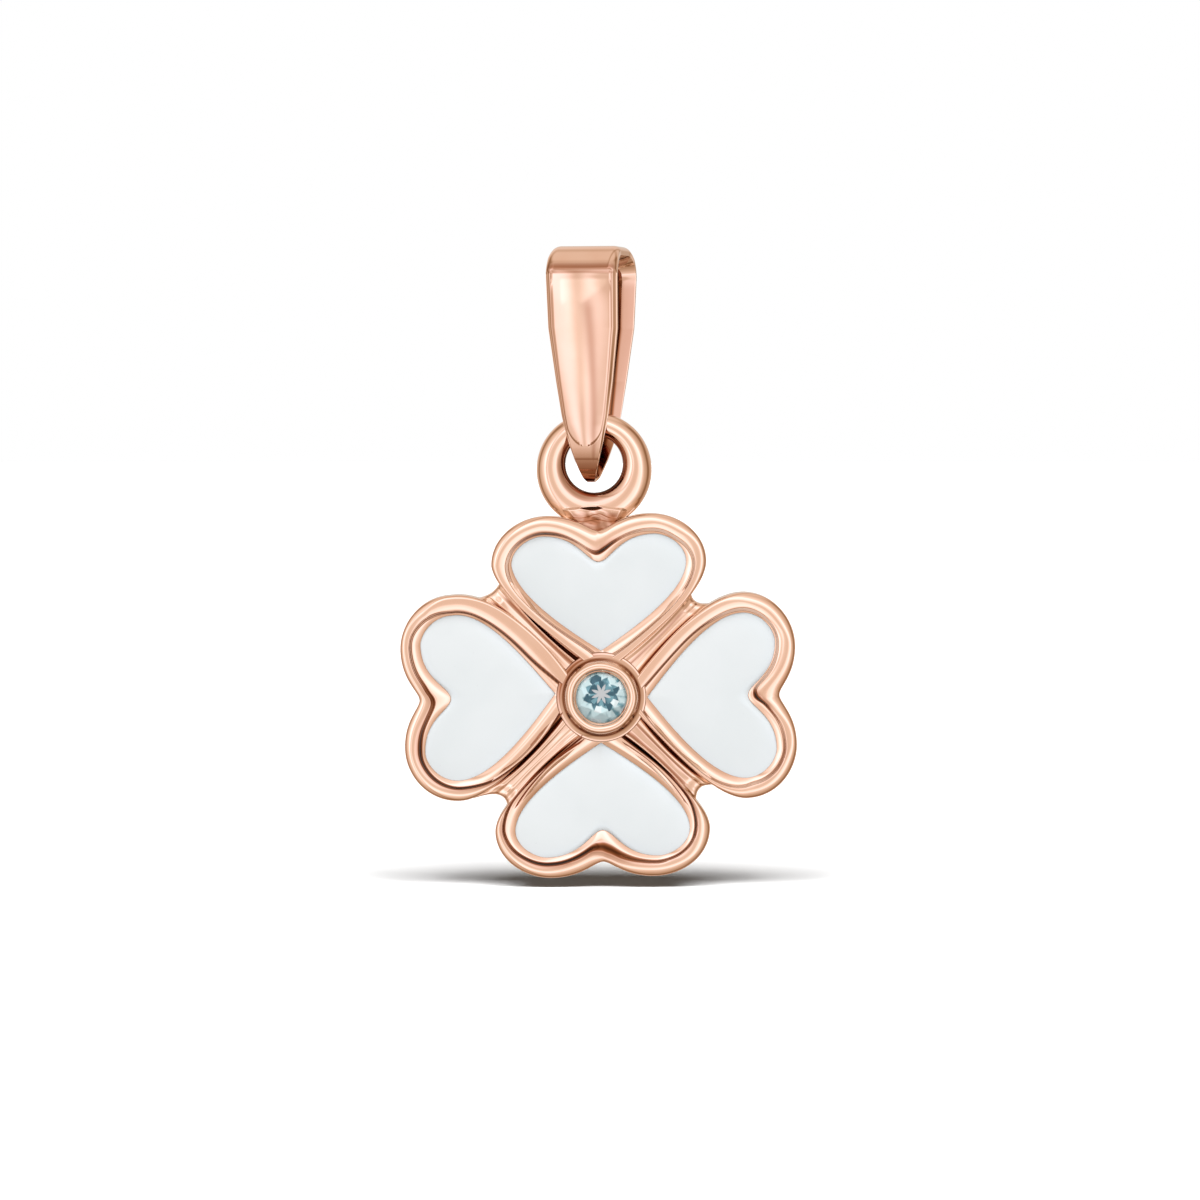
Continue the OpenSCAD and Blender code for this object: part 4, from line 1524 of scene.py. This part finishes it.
@dataclass(frozen=True)
class Studio:
    """A white table, a white tent of light with a darker gap, and the camera."""

    floor_z: float
    aim: tuple[float, float, float] = (0.26, -0.5, -10.39)
    frame_w: float = 36.72
    distance: float = 160.0
    elevation: float = 2.0
    sensor: float = 36.0
    key: float = 6.2
    key_height: float = 52.0
    key_spread: float = 32.0
    key_sides: tuple[float, ...] = (-35.0, 0.0, 35.0)
    front: float = 3.55
    front_height: float = 30.0
    front_spread: float = 70.0
    bounce: float = 1.2
    bounce_height: float = -35.0
    bounce_spread: float = 100.0
    fill: float = 0.015
    table_reach: float = 1500.0
    table_grain: float = 900.0
    table_tones: tuple[float, float] = (0.93, 0.95)
    tilt_axis: tuple[float, float, float] = (0.3, 0.0, 1.0)
    tilt: float = 0.10
    cloud_scale: float = 1.6
    cloud_share: float = 0.14
    upward: float = 0.12
    sideward: float = 0.08
    roof: float = 0.85
    roof_span: Span = (0.6, 0.95)
    # The dark seam's upright plane, by its normal's parts to the right and to the viewer, and
    # the seam's half width and strength
    seam: tuple[float, float] = (0.883, 0.469)
    seam_width: float = 0.07
    seam_dark: float = 0.32
    # Powers of the level in green and blue, which warm the tent where it is dim
    warm: tuple[float, float] = (1.3, 1.7)
    # Levels of light by the angle from the front
    bands: tuple[tuple[float, float], ...] = (
        (0.0, 0.88), (8.0, 0.95), (18.0, 1.35), (32.0, 1.55), (44.0, 1.05), (58.0, 0.78),
        (74.0, 0.62), (86.0, 0.34), (97.0, 0.30), (112.0, 0.60), (140.0, 0.80), (180.0, 0.70),
    )

    def floor(self) -> bpy.types.Object:
        """Lays a wide white table just under the clover.

        Returns:
            The table.
        """
        corner = np.array([-self.table_reach, self.table_reach])
        x, y = np.meshgrid(corner, corner)
        points = np.stack([x, y, np.full_like(x, self.floor_z)], -1).reshape(-1, 3)
        mesh = bpy.data.meshes.new("table_top")
        mesh.from_pydata(points * MM, [], [[0, 1, 3, 2]])
        material, sheet = new_material("white_table")
        grain = sheet.noise(sheet.place(), self.table_grain, 3.0)
        tone = sheet.mix(grain, *((grey, grey, grey, 1.0) for grey in self.table_tones))
        matt = sheet.add("ShaderNodeBsdfPrincipled", Base_Color=tone, Roughness=0.9)
        sheet.add("ShaderNodeOutputMaterial", Surface=matt.outputs[0])
        mesh.materials.append(material)
        table = bpy.data.objects.new("table_top", mesh)
        table.visible_glossy = False
        table.visible_diffuse = False
        bpy.context.scene.collection.objects.link(table)
        return table

    def tent(self) -> None:
        """Lights the scene from all round, by the angle between a direction and the front.

        Straight ahead, where the camera looks in, the tent is less bright than round that. It
        is dim at the sides and paler behind, and a wide noise keeps its bands from being even.
        It is a little brighter upwards and to the left, has a roof of even light, and a
        narrow, darker seam in an upright plane. The camera sees white, and light that a
        surface spreads comes from the lamps alone but for a small fill.
        """
        world = bpy.data.worlds.new("light_tent")
        bpy.context.scene.world = world
        world.use_nodes = True
        sheet = NodeSheet(world.node_tree)
        math = sheet.math
        way = sheet.add("ShaderNodeTexCoord").outputs["Generated"]
        tilted = sheet.add("ShaderNodeVectorRotate", Vector=way, Axis=self.tilt_axis,
                           Angle=self.tilt)
        axes = sheet.add("ShaderNodeSeparateXYZ", Vector=tilted.outputs[0]).outputs
        angle = math("ARCCOSINE", math("MULTIPLY", axes["Y"], -1.0))
        cloud = math("SUBTRACT", sheet.noise(way, self.cloud_scale, 1.0), 0.5)
        angle = math("ADD", math("DIVIDE", angle, float(np.pi)),
                     math("MULTIPLY", cloud, self.cloud_share))
        ramp = sheet.add("ShaderNodeValToRGB", Fac=angle)
        ramp.color_ramp.interpolation = "EASE"
        stops = ramp.color_ramp.elements
        for degrees, _ in self.bands[1:-1]:
            stops.new(degrees / 180.0)
        for stop, (degrees, light) in zip(stops, self.bands):
            stop.position = degrees / 180.0
            stop.color = (light / 2, light / 2, light / 2, 1.0)  # Halved, as stops end at 1
        level = math("MULTIPLY", ramp.outputs[0], 2.0)
        side = math("SUBTRACT", math("MULTIPLY", axes["Z"], self.upward),
                    math("MULTIPLY", axes["X"], self.sideward))
        level = math("MULTIPLY", level, math("ADD", side, 1.0))
        plain = sheet.add("ShaderNodeSeparateXYZ", Vector=way).outputs
        level = math("MAXIMUM", level, sheet.step(plain["Z"], *self.roof_span, 0.0, self.roof))
        off = math("SUBTRACT", math("MULTIPLY", plain["X"], self.seam[0]),
                   math("MULTIPLY", plain["Y"], self.seam[1]))
        bell = math("MULTIPLY", math("POWER", math("DIVIDE", off, self.seam_width), 2.0), -1.0)
        dark = math("MULTIPLY", math("EXPONENT", bell), -self.seam_dark)
        level = math("MULTIPLY", level, math("ADD", dark, 1.0))
        green, blue = (math("POWER", level, power) for power in self.warm)
        tone = sheet.add("ShaderNodeCombineColor", Red=level, Green=green, Blue=blue)
        path = sheet.add("ShaderNodeLightPath").outputs
        fill = (self.fill, self.fill, self.fill, 1.0)
        colour = sheet.mix(path["Is Diffuse Ray"], tone.outputs[0], fill)
        colour = sheet.mix(path["Is Camera Ray"], colour, (1.0, 1.0, 1.0, 1.0))
        back = sheet.add("ShaderNodeBackground", Color=colour, Strength=1.0)
        sheet.add("ShaderNodeOutputWorld", Surface=back.outputs[0])

    def lamp(self, energy: float, spread: float, height: float, side: float,
             lit: bpy.types.Collection) -> None:
        """Sets one soft light.

        Args:
            energy: Its strength.
            spread: How wide it looks, in degrees.
            height: Its height above the horizon, in degrees.
            side: Its turn from the front, in degrees.
            lit: What it lights.
        """
        light = bpy.data.lights.new("soft_light", "SUN")
        light.energy = energy
        light.angle = np.radians(spread)
        lamp = bpy.data.objects.new("soft_light", light)
        lamp.rotation_euler = (np.radians(90.0 - height), 0.0, np.radians(side))
        lamp.visible_glossy = False
        lamp.light_linking.receiver_collection = lit
        bpy.context.scene.collection.objects.link(lamp)

    def lamps(self, table: bpy.types.Object) -> None:
        """Lights the table from above, and the pendant from the front and from below.

        Args:
            table: The table, which has lamps of its own.
        """
        under, upon = (bpy.data.collections.new(n) for n in ("lit_table", "lit_pendant"))
        under.objects.link(table)
        for piece in bpy.context.scene.objects:
            if piece.type == "MESH" and piece is not table:
                upon.objects.link(piece)
        share = self.key / len(self.key_sides)
        for side in self.key_sides:
            self.lamp(share, self.key_spread, self.key_height, side, under)
        self.lamp(self.front, self.front_spread, self.front_height, 0.0, upon)
        self.lamp(self.bounce, self.bounce_spread, self.bounce_height, 0.0, upon)

    def camera(self) -> None:
        """Sets the camera so that the photograph's frame fits at the clover's distance."""
        data = bpy.data.cameras.new("camera")
        data.sensor_width = self.sensor
        data.lens = self.sensor * self.distance / self.frame_w
        data.clip_start, data.clip_end = 0.01, 10.0
        camera = bpy.data.objects.new("camera", data)
        tilt = np.radians(self.elevation)
        away = np.array([0.0, -np.cos(tilt), np.sin(tilt)]) * self.distance
        camera.location = (np.array(self.aim) + away) * MM
        camera.rotation_euler = (np.pi / 2 - tilt, 0.0, 0.0)
        bpy.context.scene.collection.objects.link(camera)
        bpy.context.scene.camera = camera

    def build(self) -> None:
        """Sets up the table, the lights and the camera."""
        self.camera()
        self.tent()
        self.lamps(self.floor())
        bpy.context.scene.view_settings.view_transform = "Standard"


# The star's middle above the stone's, and the table's depth under the clover, in millimetres
STAR_LIFT = 0.12
TABLE_GAP = 0.3


def main() -> None:
    """Builds the pendant class by class."""
    logging.basicConfig(level=logging.INFO, format="%(message)s")
    stone_low, stone_high = (np.array(c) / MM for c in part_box("stone"))
    frame_low = np.array(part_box("clover_frame")[0]) / MM
    stone_mid = (stone_low + stone_high) / 2
    middle = Middle(x=stone_mid[0], z=stone_mid[2])
    polish, specks = polish_group(), speck_group()
    gold = GoldFinish("rose_gold_polished", polish).material()
    bail_gold = GoldFinish("rose_gold_bail", polish, hairlines=0.7).material()
    solder = GoldFinish("rose_gold_solder", polish, gloss=0.12, dulled=0.25, waves=1.4,
                        bump=0.3).material()
    enamel = EnamelFinish("white_enamel", specks).material()
    stone = StoneFinish("pale_blue_stone", (stone_mid[0], stone_mid[2] + STAR_LIFT)).material()
    leaves = [Leaf(heart, middle, gold, enamel) for heart in HEARTS]
    for leaf in leaves:
        leaf.build()
    Spokes(middle, gold).build()
    Bezel(middle, gold).build()
    Eye(leaves[0], gold, solder).build()
    Bail(bail_gold).build()
    node = frame["nodes"]["stone"]
    node.data.materials.clear()
    node.data.materials.append(stone)
    Studio(floor_z=frame_low[2] - TABLE_GAP).build()


if __name__ == "__main__":
    main()
